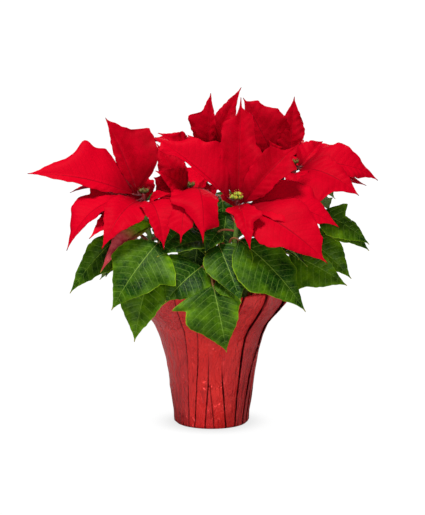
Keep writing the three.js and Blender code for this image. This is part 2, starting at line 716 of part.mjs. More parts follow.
function sideLeafRow(root, [turnDegrees, riseDegrees, length, half]) {
  const turn = degrees(turnDegrees);
  const rise = degrees(riseDegrees);
  const stalkRise = rise + degrees(SIDE_LEAF.stalkRise);
  const base = root.clone().addScaledVector(direction(turn, stalkRise), SIDE_LEAF.stalkShare * length);
  const tip = base.clone().addScaledVector(direction(turn, rise), SIDE_LEAF.bladeShare * length);
  return {
    base: base.toArray(),
    tip: tip.toArray(),
    half: [half, half],
    face: sideFace(turn, rise),
    fold: SIDE_LEAF.fold,
    arch: SIDE_LEAF.arch * length,
    teeth: [],
  };
}

function leafBlades(head) {
  const curve = stemCurve(head);
  const rows = [
    ...head.leaves,
    ...head.sideLeaves.map(([at, ...shape]) => ({ at, ...sideLeafRow(curve.getPoint(at), shape) })),
  ];
  return rows.map((row, i) => makeBlade(LEAF, curve.getPoint(row.at), vec(row.base), row, i * PHASE_STEP));
}

// A bract's base lies a tenth of the way to its tip, and never nearer the stem than its stalk's reach.
function bractBase(root, tip) {
  const chord = tip.clone().sub(root);
  const level = Math.hypot(chord.x, chord.y);
  const reach = Math.max(level * BRACT.stalk, BRACT_CLEARANCE);
  return root.clone().add(vec([(chord.x / level) * reach, (chord.y / level) * reach, chord.z * BRACT_LIFT]));
}

function bractBlades(head) {
  const makers = [
    ...head.bracts.map((row) => () => row),
    ...head.sideBracts.map((shape) => (root) => sideBractRow(root, shape)),
  ];
  return makers.map((make, i) => {
    const root = vec(head.top).setZ(head.top[2] - 2 - BRACT_SPACING * i);
    const row = make(root);
    const base = bractBase(root, vec(row.tip));
    root.addScaledVector(vec([base.x - root.x, base.y - root.y, 0]).normalize(), BRACT_ROOT);
    return makeBlade(BRACT, root, base, row, i * PHASE_STEP);
  });
}

function leafyStemSolid(head, trunk) {
  const stem = stemSolid(stemCurve(head));
  return joined([stem, ...leafBlades(head).map(bladeSolid)]).subtract(trunk);
}

function rosetteSolid(head) {
  const foot = vec(head.top).setZ(head.top[2] - RED_STEM.length + GAP);
  const stem = turned([
    [RED_STEM.radius, 0],
    [RED_STEM.radius, RED_STEM.length - GAP],
  ], RED_STEM.sides, foot);
  return joined([stem, ...bractBlades(head).map(bladeSolid)]);
}

// A cluster of flower cups, with its foot at the origin.
function clusterSolid(around) {
  const cupFoot = vec([0, 0, 0.5 * CLUSTER_BASE[1][1]]);
  const cups = [turned(CUP_PROFILE, CUP_SIDES, cupFoot)];
  for (let i = 0; i < around; i += 1) {
    const turn = (2 * Math.PI * i) / around;
    const axis = direction(turn, degrees(90 - CUP_TILT));
    const foot = direction(turn, 0).multiplyScalar(CUP_RING).add(cupFoot);
    cups.push(turned(CUP_PROFILE, CUP_SIDES, foot, axis));
  }
  return joined([turned(CLUSTER_BASE, CUP_SIDES + 1), ...cups]);
}

// ---------- the object ----------

function material(color, roughness, metalness = 0) {
  return new THREE.MeshStandardMaterial({ color, roughness, metalness });
}

const FOIL = material('#a8202c', 0.4, 0.3);
const POT_PLASTIC = material('#6b3a2a', 0.6);
const PEAT = material('#33241a', 0.95);
const BARK = material('#6f6a45', 0.85);
const LEAF_GREEN = material('#3f6b1d', 0.55);
const BRACT_RED = material('#d5001f', 0.6);
const CUP_YELLOW_GREEN = material('#a9b53a', 0.6);

function mesh(name, solid, finish, position = [0, 0, 0]) {
  const { numProp, vertProperties, triVerts } = solid.getMesh();
  const geometry = new THREE.BufferGeometry();
  geometry.setAttribute('position', new THREE.BufferAttribute(new Float32Array(vertProperties), numProp));
  geometry.setIndex([...triVerts]);
  geometry.computeVertexNormals();
  const part = new THREE.Mesh(geometry, finish);
  part.name = name;
  part.position.set(...position);
  return part;
}

const potFoot = COVER_WALL + GAP;
const trunkFoot = SOIL_HEIGHT - TRUNK.depth;

const poinsettia = new THREE.Group();
poinsettia.add(mesh('pot_cover', coverSolid(), FOIL));
poinsettia.add(mesh('grower_pot', growerPotSolid(), POT_PLASTIC, [0, 0, potFoot]));
poinsettia.add(mesh('soil', soilSolid(SOIL_HEIGHT - potFoot, trunkFoot - potFoot), PEAT, [0, 0, potFoot]));
poinsettia.add(mesh('woody_stem', trunkSolid(trunkFoot), BARK));

const trunkWithClearance = trunkSolid(trunkFoot, GAP);
HEADS.forEach((head, i) => {
  const cups = i === 0 ? LARGE_CLUSTER : SMALL_CLUSTER;
  const clusterFoot = [head.top[0], head.top[1], head.top[2] + GAP];
  poinsettia.add(mesh(`leafy_stem_${head.name}`, leafyStemSolid(head, trunkWithClearance), LEAF_GREEN));
  poinsettia.add(mesh(`bracts_${head.name}`, rosetteSolid(head), BRACT_RED));
  poinsettia.add(mesh(`flowers_${head.name}`, clusterSolid(cups), CUP_YELLOW_GREEN, clusterFoot));
});

export default poinsettia;
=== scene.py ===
# %% [markdown]
# # A potted poinsettia
#
# The plant has one short woody stem that forks into six leafy stems. Each ends in a rosette of red bracts
# round a cluster of small flower cups. It grows in a thin plastic pot of peat, which stands in a pleated
# foil cover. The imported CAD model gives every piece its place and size. This script makes the finer forms
# and the finishes that the eye reads: veins, waved edges, folds in the foil, crumbs of peat.

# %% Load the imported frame
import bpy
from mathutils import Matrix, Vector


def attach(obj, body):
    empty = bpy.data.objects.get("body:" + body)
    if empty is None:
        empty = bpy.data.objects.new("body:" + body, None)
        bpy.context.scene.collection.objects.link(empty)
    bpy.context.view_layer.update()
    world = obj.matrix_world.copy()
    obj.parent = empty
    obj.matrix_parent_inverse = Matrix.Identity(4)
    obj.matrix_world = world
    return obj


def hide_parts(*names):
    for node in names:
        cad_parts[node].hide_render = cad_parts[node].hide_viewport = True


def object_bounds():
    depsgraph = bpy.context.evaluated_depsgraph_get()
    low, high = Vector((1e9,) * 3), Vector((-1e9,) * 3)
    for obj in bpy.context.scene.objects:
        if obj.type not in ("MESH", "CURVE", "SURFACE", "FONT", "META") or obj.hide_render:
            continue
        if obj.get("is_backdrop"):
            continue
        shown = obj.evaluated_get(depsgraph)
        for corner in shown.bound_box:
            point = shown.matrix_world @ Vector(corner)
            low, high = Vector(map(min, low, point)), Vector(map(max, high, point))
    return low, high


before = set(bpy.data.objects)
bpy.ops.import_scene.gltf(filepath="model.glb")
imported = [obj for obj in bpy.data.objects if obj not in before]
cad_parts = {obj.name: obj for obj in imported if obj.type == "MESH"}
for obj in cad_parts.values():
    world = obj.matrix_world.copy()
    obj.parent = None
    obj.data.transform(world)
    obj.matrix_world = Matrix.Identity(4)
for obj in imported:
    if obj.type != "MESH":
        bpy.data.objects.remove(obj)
CAD_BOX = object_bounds()
print("frame nodes:", len(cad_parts))

# %% Libraries and units
import math

import bpy
import numpy as np
from mathutils import Vector, noise

MM = 0.001  # shapes are worked out in millimetres, and Blender's unit here is the metre
PER_METRE = 1000  # stretches a coordinate in metres so that a noise has cells of about a millimetre
TURN = 2 * math.pi
print("Blender", bpy.app.version_string, "and numpy", np.__version__)

# %% [markdown]
# ## The plant's plan
#
# A plant has no drawing, but it has a plan: where each head stands, and where each leaf grows and points.
# One could scatter leaves at random, but then nothing matches the real plant. So each of the front blades
# has a row of its own, and the side and back blades share one short form. The same rows
# shape the CAD solids, so every fine blade here lies where its plain solid is.

# %% The six heads
# A bract's row has its tip, its half widths left and right of the midrib, the direction that it faces, the
# fold along its midrib in degrees, the arch of its midrib, and its teeth as [place, height], with places on
# the left edge negative. A leaf's row starts with its place along the stem and the base of its blade. Side
# bracts are [turn, rise, length, half width], and side leaves the same after their place.
HEADS = [
    {"name": "front_right", "top": [31, -60, 290], "fork": 116,
     "bracts": [
    [[-68, -55, 365], [5, 34], [0, -0.8, 0.6], 14, 8, [[0.45, 7], [0.68, 6], [-0.85, 13]]],
    [[46, -125, 238], [16, 14], [0, -0.75, 0.6], 16, 14, [[0.33, 8], [-0.5, 9]]],
    [[138, -122, 221], [40, 36], [0.05, -0.75, 0.65], 4, 14, [[-0.8, 5], [0.5, 4]]],
    [[155, -72, 257], [42, 30], [0.1, -0.6, 0.8], 4, 16, [[-0.58, 7]]],
    [[108, -48, 357], [22, 20], [-0.25, -0.9, 0.3], 20, 12, [[0.68, 13], [0.86, 6], [-0.7, 7]]],
    [[36, -25, 411], [25, 25], [0, -0.95, 0.3], 20, 6, [[0.45, 5], [0.8, 7], [-0.72, 9]]]],
     "side_bracts": [[95, 5, 60, 18]],
     "leaves": [
    [0.38, [2, -110, 192], [18, -124, 114], [25, 44], [0, -0.8, 0.6], 6, 8,
     [[0.2, 18], [0.55, 3], [-0.3, 4]]],
    [0.45, [6, -106, 198], [29, -120, 176], [11, 11], [0, -0.8, 0.6], 6, 3, []],
    [0.75, [9, -78, 237], [35, -130, 176], [33, 28], [0, -0.8, 0.5], 8, 4, []],
    [0.62, [34, -82, 243], [113, -108, 160], [28, 44], [0.2, -0.8, 0.6], 4, 12, [[-0.6, 4], [0.5, 5]]],
    [0.9, [8, -74, 252], [-8, -94, 230], [13, 13], [0, -0.8, 0.6], 10, 4, []],
    [0.95, [18, -42, 272], [12, -58, 226], [28, 26], [0.1, -0.9, 0.3], 8, 5, []]],
     "side_leaves": [[0.8, -10, -30, 90, 26]]},
    {"name": "left", "top": [-83, -25, 293], "fork": 106,
     "bracts": [
    [[-224, -48, 320], [14, 40], [0, -0.75, 0.66], 12, 12, [[0.52, 12], [0.3, 9]]],
    [[-131, 0, 384], [12, 44], [0.1, -0.9, 0.3], 24, 6, [[0.62, 11]]],
    [[-175, -80, 230], [20, 34], [-0.3, -0.5, 0.8], 8, 26, [[0.28, 15], [0.1, 12]]],
    [[-131, -108, 236], [28, 24], [0, -0.7, 0.7], 8, 20, []],
    [[-57, -98, 234], [30, 18], [0.15, -0.75, 0.6], 10, 25, [[0.85, 4]]],
    [[-147, -90, 246], [15, 17], [-0.1, -0.7, 0.7], 8, 8, []],
    [[-50, -60, 297], [8, 11], [0, -0.8, 0.6], 10, 6, []]],
     "side_bracts": [[150, 4, 110, 30], [112, 15, 90, 27], [185, -20, 92, 28]],
     "leaves": [
    [0.4, [-72, -70, 210], [-93, -102, 122], [31, 34], [-0.1, -0.85, 0.5], 8, 10, [[0.45, 4], [-0.4, 4]]],
    [0.6, [-112, -10, 240], [-176, -20, 167], [28, 19], [-0.3, -0.8, 0.5], 10, 8, [[-0.45, 4]]],
    [0.7, [-100, 5, 235], [-132, -5, 185], [22, 22], [-0.3, -0.8, 0.5], 10, 8, []],
    [0.8, [-65, -76, 239], [-120, -108, 162], [42, 33], [-0.1, -0.85, 0.5], 6, 10, [[-0.35, 13], [0.45, 4]]],
    [0.92, [-69, -40, 256], [-135, -75, 202], [18, 18], [-0.2, -0.5, 0.8], 35, 10, []]],
     "side_leaves": [[0.5, 140, -18, 115, 34], [0.7, 128, -4, 110, 32], [0.62, 160, -4, 85, 27]]},
    {"name": "middle", "top": [-27, -5, 298], "fork": 124,
     "bracts": [
    [[-10, -114, 244], [25, 36], [0.2, -0.75, 0.62], -20, 33, [[0.55, 6], [-0.82, 15]]],
    [[-37, -103, 242], [20, 18], [0, -0.75, 0.66], 2, 27, [[0.84, 13], [-0.84, 7]]],
    [[-68, -54, 324], [20, 20], [0, -0.9, 0.4], 10, 10, []],
    [[-68, 14, 350], [18, 18], [0, -0.85, 0.4], 16, 6, []],
    [[-72, 12, 308], [22, 20], [0, -0.9, 0.3], 10, 4, []],
    [[8, 8, 294], [14, 14], [0, -0.9, 0.3], 10, 4, []]],
     "side_bracts": [[95, 20, 80, 24], [40, 35, 55, 16]],
     "leaves": [
    [0.55, [-12, -84, 211], [-56, -110, 172], [34, 38], [0, -0.85, 0.5], 4, 8, [[-0.4, 4]]],
    [0.85, [-2, -55, 238], [-66, -94, 224], [22, 22], [0, -0.5, 0.85], 12, 8, []],
    [0.7, [-16, -16, 240], [-22, -22, 190], [26, 26], [0, -0.9, 0.3], 8, 4, []],
    [0.9, [-52, 12, 268], [-64, 14, 216], [26, 19], [0, -0.9, 0.3], 8, 4, []],
    [0.95, [-16, 22, 276], [-24, 26, 218], [26, 26], [0, -0.9, 0.3], 8, 4, []],
    [0.85, [14, 4, 280], [15, 2, 228], [17, 17], [0, -0.95, 0.25], 8, 4, []]],
     "side_leaves": [[0.75, -75, -25, 60, 24]]},
    {"name": "back_left", "top": [-8, 75, 332], "fork": 110,
     "bracts": [
    [[-1, 60, 410], [22, 9], [0, -0.95, 0.3], 16, 4, [[-0.6, 11]]],
    [[38, 90, 415], [16, 16], [-0.3, -0.9, 0.3], 30, 4, []],
    [[-68, 52, 360], [13, 13], [0, -0.7, 0.7], 20, 5, [[0.3, 3], [0.55, 3]]],
    [[-34, 38, 352], [12, 12], [0, -0.8, 0.6], 20, 5, [[0.4, 3]]],
    [[14, 40, 350], [11, 11], [0, -0.8, 0.6], 20, 5, [[-0.4, 3]]]],
     "side_bracts": [[95, -3, 115, 31], [140, 8, 115, 30], [50, 8, 110, 29], [175, -2, 100, 27],
        [15, -5, 70, 22], [120, 40, 60, 18]],
     "leaves": [],
     "side_leaves": [[0.42, 95, -35, 120, 34], [0.55, 145, -25, 120, 34], [0.68, 60, -25, 110, 33],
        [0.78, 175, -25, 110, 31], [0.88, 110, -20, 110, 32], [0.8, -60, -20, 75, 27]]},
    {"name": "back_right", "top": [90, 70, 322], "fork": 103,
     "bracts": [
    [[40, 60, 404], [22, 35], [0, -0.95, 0.3], 10, 6, [[0.85, 7], [0.64, 5]]],
    [[105, 65, 405], [18, 18], [0, -0.95, 0.3], 14, 4, [[0.2, 12]]],
    [[72, 42, 352], [12, 12], [0, -0.8, 0.6], 20, 5, []]],
     "side_bracts": [[90, 8, 110, 31], [50, 4, 115, 31], [12, -6, 105, 29], [130, 12, 100, 27],
        [70, 40, 60, 18]],
     "leaves": [],
     "side_leaves": [[0.45, 60, -35, 120, 34], [0.92, 100, -18, 85, 27], [0.58, 25, -30, 110, 32],
        [0.7, 90, -20, 115, 33], [0.82, 45, -15, 110, 31], [0.85, -118, -15, 62, 24]]},
    {"name": "right", "top": [103, 12, 325], "fork": 120,
     "bracts": [
    [[208, 16, 304], [27, 24], [0, -0.7, 0.7], 8, 18, [[-0.45, 4]]],
    [[181, -32, 291], [22, 46], [0.1, -0.75, 0.65], 8, 14, [[0.62, 13], [-0.3, 6]]],
    [[194, 20, 297], [18, 18], [0, -0.4, 0.9], 10, 4, []],
    [[140, 46, 350], [18, 16], [0.1, -0.8, 0.5], 8, 8, []],
    [[114, -35, 272], [22, 22], [0, -0.85, 0.5], 10, 8, [[0.6, 4], [-0.5, 3]]],
    [[106, -32, 300], [16, 16], [0, -0.85, 0.5], 10, 6, []]],
     "side_bracts": [[36, 15, 95, 26], [103, 34, 42, 15], [160, 28, 50, 17]],
     "leaves": [
    [0.45, [97, -20, 217], [167, -40, 180], [18, 38], [0, -0.85, 0.5], 6, 8, [[0.4, 5]]],
    [0.6, [115, 20, 235], [175, 0, 182], [27, 22], [0, -0.85, 0.5], 6, 8, [[-0.35, 5]]],
    [0.75, [138, 20, 256], [198, 15, 215], [17, 26], [0, -0.6, 0.8], 6, 8, []],
    [0.88, [134, 0, 266], [196, -10, 227], [15, 28], [0, -0.7, 0.7], 6, 8, [[-0.3, 12]]]],
     "side_leaves": [[0.5, 36, -28, 108, 32], [0.55, -60, -12, 70, 26], [0.8, 50, -20, 90, 28],
        [0.85, -120, -24, 70, 24]]},
]
print("heads:", len(HEADS), "hand-set blades:", sum(len(h["bracts"]) + len(h["leaves"]) for h in HEADS))

# %% [markdown]
# ## Meshes from formulas
#
# Leaves are thin shells whose shape follows a few growth rules: a midrib that arches, a width that swells
# and tapers, edges that wave, and side veins with the blade puffed up between them. A subdivision surface
# over a hand-made cage could give a smooth leaf, but not its veins. Here numpy works out whole grids of
# points from the formula, and each grid becomes a closed shell with a front, a back and a rim.

# %% Vector helpers
def unit(vector):
    vector = np.asarray(vector, float)
    return vector / np.linalg.norm(vector, axis=-1, keepdims=True)


def blend_to(a, b, share):
    return a + (b - a) * share


def direction(turn, rise):
    level = math.cos(rise)
    return np.array([math.cos(turn) * level, math.sin(turn) * level, math.sin(rise)])


def quadratic(start, bend, end, share):
    share = share[:, None]
    return start * (1 - share) ** 2 + 2 * bend * share * (1 - share) + end * share ** 2


def circle(sides, side=(1, 0, 0), other=(0, 1, 0)):
    """Points of a unit circle, in the plane of two directions."""
    angles = np.arange(sides) / sides * TURN
    return np.cos(angles)[:, None] * np.asarray(side) + np.sin(angles)[:, None] * np.asarray(other)


print("a circle of four points:", np.round(circle(4)).tolist())

# %% [markdown]
# A piece such as a rosette is many shells that belong to one living part. They could be joined with
# Booleans, but the joins are hidden deep in the stem and would cost fine faces. So a `Bunch` gathers closed
# shells, each with its own data for the shader: how far along and across the blade a point lies, which face
# it is on, how light its tone is, and which vein it is near.

# %% A bunch of closed shells in one object
class Bunch:
    FIELDS = ("along", "across", "under", "tone", "vein")

    def __init__(self):
        self.points, self.faces, self.slots, self.flat = [], [], [], []
        self.fields = {field: [] for field in self.FIELDS}
        self.count = 0

    def add(self, points, faces, slot=0, flat=None, **fields):
        self.points.append(points)
        self.faces.extend([tuple(index + self.count for index in face) for face in faces])
        self.slots.extend([slot] * len(faces))
        self.flat.append(np.zeros((len(points), 3)) if flat is None else flat)
        for field in self.FIELDS:
            self.fields[field].append(np.broadcast_to(fields.get(field, 0.0), len(points)))
        self.count += len(points)

    def make(self, name, materials):
        mesh = bpy.data.meshes.new(name)
        mesh.from_pydata((np.concatenate(self.points) * MM).tolist(), [], self.faces)
        mesh.polygons.foreach_set("material_index", self.slots)
        mesh.polygons.foreach_set("use_smooth", [True] * len(self.faces))
        for field, values in self.fields.items():
            mesh.attributes.new(field, "FLOAT", "POINT").data.foreach_set("value", np.concatenate(values))
        flat = mesh.attributes.new("flat", "FLOAT_VECTOR", "POINT")
        flat.data.foreach_set("vector", np.concatenate(self.flat).ravel())
        for material in materials:
            mesh.materials.append(material)
        piece = bpy.data.objects.new(name, mesh)
        bpy.context.scene.collection.objects.link(piece)
        print(f"{name}: {len(self.faces)} faces")
        return piece


# %% Faces for grids, and shapes made of rings
def grid_faces(index, flip):
    """Quads over a grid of point numbers, row by row."""
    quads = np.stack([index[:-1, :-1], index[:-1, 1:], index[1:, 1:], index[1:, :-1]], -1).reshape(-1, 4)
    return (quads[:, ::-1] if flip else quads).tolist()


def stacked(rings, looped=False):
    """Points and faces of a stack of rings, with a flat cap at each end unless the stack is looped."""
    index = np.arange(len(rings) * len(rings[0])).reshape(len(rings), -1)
    beside = np.roll(index, -1, 1)
    quads = np.stack([index, beside, np.roll(beside, -1, 0), np.roll(index, -1, 0)], -1)
    caps = [] if looped else [index[0, ::-1].tolist(), index[-1].tolist()]
    return np.concatenate(rings), (quads if looped else quads[:-1]).reshape(-1, 4).tolist() + caps


def tube(path, radii, sides):
    """A round tube along a path of points, as points and faces."""
    path = np.asarray(path, float)
    tangents = unit(np.gradient(path, axis=0))
    across = unit(np.cross(tangents[0], [0.3, 0.5, 0.81]))  # any direction that no path here runs along
    rings = []
    for point, tangent, radius in zip(path, tangents, np.broadcast_to(radii, len(path))):
        across = unit(across - tangent * (across @ tangent))
        rings.append(point + radius * circle(sides, across, np.cross(tangent, across)))
    return stacked(rings)


def turned(profile, sides, foot=(0, 0, 0), axis=(0, 0, 1)):
    """A turned solid from [radius, height] rings, along an axis from a foot."""
    axis = unit(axis)
    side = unit(np.cross(axis, [0, 1, 0] if abs(axis[1]) < 0.9 else [1, 0, 0]))
    ring = circle(sides, side, np.cross(axis, side))
    return stacked([np.asarray(foot) + axis * height + radius * ring for radius, height in profile])


print("faces of a six-sided can:", len(turned([[1, 0], [1, 2]], 6)[1]))


# %% [markdown]
# ## Blades: one growth rule for leaves and bracts
#
# A poinsettia bract is a coloured leaf: both have a stalk, a midrib and a pointed blade, often with a tooth
# or a lobe. So one rule makes both. The width is `t^rise * (1-t)^fall`, scaled to its widest point, and each
# tooth adds a pointed swelling with a notch behind it.

# %% Where the two kinds of blade differ
# In millimetres: "quilt" is how far the blade puffs up between its veins, "drape" the height of its broad
# folds, "ripple" that of the small waves of its edge, and "ragged" how uneven its outline is. A bract is
# soft and drapes most. "bow" is the cup of each half, as a share of its width.
BRACT = {"stalk_half": 1.5, "rise": 1.1, "fall": 1.6, "bow": 0.12, "vein_gap": 10.0, "vein_slope": 0.62,
         "quilt": 0.55, "ripple": 1.0, "drape": 2.4, "ragged": 0.45}
LEAF = {"stalk_half": 1.4, "rise": 0.8, "fall": 1.55, "bow": 0.1, "vein_gap": 9.0, "vein_slope": 0.5,
        "quilt": 0.45, "ripple": 0.5, "drape": 1.2, "ragged": 0.35}
print("a bract's broad folds are", BRACT["drape"] / LEAF["drape"], "times a leaf's")

# %% Outline and teeth
TOOTH_RAMP, TOOTH_DROP, TOOTH_SWEEP = 0.26, 0.1, 0.25  # shares of the blade's length, and of a tooth's height
NOTCH_LENGTH, NOTCH_DEPTH = 0.25, 0.25


def outline(kind, t):
    widest = kind["rise"] / (kind["rise"] + kind["fall"])
    inside = np.clip(t, 0, 1)
    return (inside / widest) ** kind["rise"] * ((1 - inside) / (1 - widest)) ** kind["fall"]


def tooth(t, place, height):
    past = t - place
    ramp = height * np.clip(1 + past / TOOTH_RAMP, 0, None) ** 1.5
    notch = NOTCH_DEPTH * height * np.sin(math.pi * np.clip(past / NOTCH_LENGTH, 0, 1))
    return np.where(past <= 0, ramp, height * np.clip(1 - past / TOOTH_DROP, 0, None) - notch)


def wave(count, t, shift):
    return np.sin(TURN * count * t + shift)


print("widest places:", [round(kind["rise"] / (kind["rise"] + kind["fall"]), 2) for kind in (BRACT, LEAF)])

# %% The shape of one blade
WAVE_HEIGHT, WAVES, RIPPLES, DRAPES, DRAPES_ACROSS = 1.6, 2.3, 6.3, 1.5, 0.5  # how many from base to tip
RAG_WAVES = (8.3, 13.1)  # two counts that never meet, so the outline never repeats
TIP_HALF, TIP_TAPER = 0.4, 12  # the half width near the tip, and how fast it grows behind it
FULL_WAVE_HALF = 12  # narrower parts wave less
VEIN_START, QUILT_POWER = 0.06, 0.6
GROOVE_DEPTH, GROOVE_HALF = 0.5, 1.3  # the midrib's line on the upper face
STALK_LEAD = 0.45


class Blade:
    """A blade's middle surface: t runs from base to tip, v from -1 on the left edge to 1 on the right."""

    def __init__(self, kind, stem, base, row, phase):
        tip, self.half, face, fold, arch, self.teeth = row
        self.kind, self.phase, self.fold = kind, phase, math.radians(fold)
        self.stem, self.base, self.tip = (np.asarray(point, float) for point in (stem, base, tip))
        self.face = unit(face)
        chord = unit(self.tip - self.base)
        outward = unit(self.face - chord * (self.face @ chord))
        self.bend = (self.base + self.tip) / 2 + outward * 2 * arch
        reach = np.linalg.norm(self.base - self.stem)
        self.lead = self.base - unit(self.bend - self.base) * STALK_LEAD * reach
        self.length = np.linalg.norm(self.bend - self.base) + np.linalg.norm(self.tip - self.bend)

    def frames(self, t):
        centre = quadratic(self.base, self.bend, self.tip, t)
        tangent = unit(blend_to(self.bend - self.base, self.tip - self.bend, t[:, None]))
        normal = unit(self.face - tangent * (tangent @ self.face)[:, None])
        return centre, tangent, normal, np.cross(tangent, normal)

    def tooth_heights(self, t, side):
        return [tooth(t, abs(place), height) for place, height in self.teeth if place * side > 0]

    def half_width(self, t, side):
        width = self.half[0 if side < 0 else 1] * outline(self.kind, t) + sum(self.tooth_heights(t, side))
        narrow = np.minimum(self.kind["stalk_half"], TIP_HALF + (1 - t) * TIP_TAPER)
        uneven = wave(RAG_WAVES[0], t, 3 * self.phase + side) + 0.7 * wave(RAG_WAVES[1], t, 5 * self.phase)
        rag = self.kind["ragged"] * uneven * np.clip(width / FULL_WAVE_HALF, 0, 1)
        return np.maximum(width + rag, narrow)

    def surface(self, t, v):
        """Points and shader data over the whole grid t by v."""
        kind, phase = self.kind, self.phase
        centre, tangent, normal, right = self.frames(t)
        t, v = t[:, None], v[None, :]
        across, side = np.abs(v), np.where(v < 0, -1, 1)
        width = np.where(v < 0, self.half_width(t, -1), self.half_width(t, 1))
        sweep = np.where(v < 0, *(sum(np.clip(k, 0, None) for k in self.tooth_heights(t, s)) + 0 * t
                                  for s in (-1, 1)))
        out, small = width * across, np.minimum(1, width / FULL_WAVE_HALF)
        loose = 4 * t * (1 - t) * small

        # Side veins are counted along the blade, and lean forward. A whole number and a half lies on a vein.
        place = t * self.length - out * kind["vein_slope"] * (1 + 0.25 * across)
        vein = place / kind["vein_gap"] + 0.5 * side * np.minimum(1, across / VEIN_START)

        rise = out * math.sin(self.fold) + 2 * kind["bow"] * out * (1 - across)
        rise += WAVE_HEIGHT * across ** 2 * wave(WAVES, t, phase + side) * loose
        rise += kind["ripple"] * across ** 4 * wave(RIPPLES, t, 2 * phase + side) * loose
        rise += kind["drape"] * across * wave(1, DRAPES * t + DRAPES_ACROSS * v, 1.7 * phase) * loose
        rise += kind["quilt"] * np.cos(TURN * vein) * np.sin(math.pi * across) ** QUILT_POWER * small
        rise -= GROOVE_DEPTH * np.exp(-(out / GROOVE_HALF) ** 2) * (1 - t)
        points = (centre[:, None] + right[:, None] * (side * out * math.cos(self.fold))[..., None]
                  + normal[:, None] * rise[..., None]
                  + tangent[:, None] * (TOOTH_SWEEP * sweep * across ** 2)[..., None])
        flat = np.stack(np.broadcast_arrays(v * width, t * self.length, phase), -1)
        along, across, vein = np.broadcast_arrays(t, v, vein)
        return points, {"along": along, "across": across, "vein": vein, "flat": flat}


# %% [markdown]
# The shell of a blade is its middle surface, moved half a thickness to each side. The thickness falls
# towards the edge, as on a real leaf. The stalk is a tube that runs on under the blade as its midrib, and
# thins out towards the tip.

# %% From a blade to its shell, stalk and midrib
ALONG_STEPS, ACROSS_STEPS, EDGE_CROWDING = 50, 11, 1.1
BLADE_MIDDLE, BLADE_EDGE = 0.8, 0.45  # thickness
STALK_RADIUS, MIDRIB_RADIUS, MIDRIB_END, MIDRIB_TAPER, MIDRIB_SINK = 1.35, 0.2, 0.9, 0.7, 0.6
STALK_RINGS, MIDRIB_RINGS, STALK_SIDES = 11, 24, 8


def add_blade(bunch, blade, tone):
    t = np.linspace(0, 1, ALONG_STEPS)
    half = np.sin(np.linspace(0, TURN / 4, ACROSS_STEPS + 1)) ** EDGE_CROWDING
    v = np.concatenate([-half[:0:-1], half])
    points, data = blade.surface(t, v)
    normal = unit(np.cross(np.gradient(points, axis=1), np.gradient(points, axis=0)))
    facing = (normal * blade.frames(t)[2][:, None]).sum(-1, keepdims=True)
    thick = normal * np.sign(facing) * blend_to(BLADE_MIDDLE, BLADE_EDGE, v ** 2)[None, :, None] / 2
    shell = np.concatenate([(points + thick).reshape(-1, 3), (points - thick).reshape(-1, 3)])

    index = np.arange(len(t) * len(v)).reshape(len(t), len(v))
    flip = facing[len(t) // 2, len(v) // 2] < 0
    rim = np.concatenate([index[0], index[1:, -1], index[-1, -2::-1], index[-2:0:-1, 0]])
    after = np.roll(rim, -1)
    edge = np.stack([rim, rim + index.size, after + index.size, after], -1)
    faces = grid_faces(index, flip) + grid_faces(index + index.size, not flip)
    faces += (edge[:, ::-1] if flip else edge).tolist()
    fields = {name: np.tile(data[name].ravel(), 2) for name in ("along", "across", "vein")}
    bunch.add(shell, faces, 0, np.tile(data["flat"].reshape(-1, 3), (2, 1)), tone=tone,
              under=np.repeat([0.0, 1.0], index.size), **fields)

    stalk = quadratic(blade.stem, blade.lead, blade.base, np.linspace(0, 1, STALK_RINGS + 1))[:-1]
    centre, _, up, _ = blade.frames(np.linspace(0, MIDRIB_END, MIDRIB_RINGS))
    radii = blend_to(STALK_RADIUS, MIDRIB_RADIUS, np.linspace(0, 1, MIDRIB_RINGS) ** MIDRIB_TAPER)
    path = np.concatenate([stalk, centre - up * (BLADE_MIDDLE / 2 + MIDRIB_SINK * radii)[:, None]])
    place = np.concatenate([np.linspace(-0.5, 0, STALK_RINGS), np.linspace(0, 1, MIDRIB_RINGS)])
    bunch.add(*tube(path, np.concatenate([np.full(STALK_RINGS, STALK_RADIUS), radii]), STALK_SIDES), 1,
              along=np.repeat(place, STALK_SIDES), tone=tone, under=1.0)


# %% Try the blade rule on one leaf
sample = Blade(LEAF, (0, 0, 0), (0, 0, 30), [[0, -100, 60], [30, 30], [0, 0, 1], 8, 8, [[0.4, 6]]], 0)
print("sample leaf half widths:", np.round(sample.half_width(np.linspace(0, 1, 5), 1), 1),
      "length:", round(float(sample.length), 1), "mm")

# %% [markdown]
# ## Stems, leaves and bracts in their places
#
# A leafy stem leaves the trunk, swings out, and then runs nearly straight up. Its leaf stalks stand at
# places along it. Its last 24 mm are red, and carry the bracts.

# %% Where a stem runs
TRUNK = {"radius": 6.4, "foot": 50, "top": 127}
RED_LENGTH = 24
SHOULDER, NECK = (0.45, 24), (0.9, 50)  # share of the way out, and height over the fork or under the top


def stem_path(head, share):
    low = np.array(head["top"], float) - [0, 0, RED_LENGTH]
    shoulder = np.array([*low[:2] * SHOULDER[0], head["fork"] + SHOULDER[1]])
    neck = np.array([*low[:2] * NECK[0], low[2] - NECK[1]])
    foot = np.array([0, 0, head["fork"]], float)
    s = np.asarray(share, float)[..., None]
    return foot * (1 - s) ** 3 + 3 * shoulder * s * (1 - s) ** 2 + 3 * neck * s ** 2 * (1 - s) + low * s ** 3


print("the first stem's foot, middle and end:", np.round(stem_path(HEADS[0], [0, 0.5, 1])).tolist())


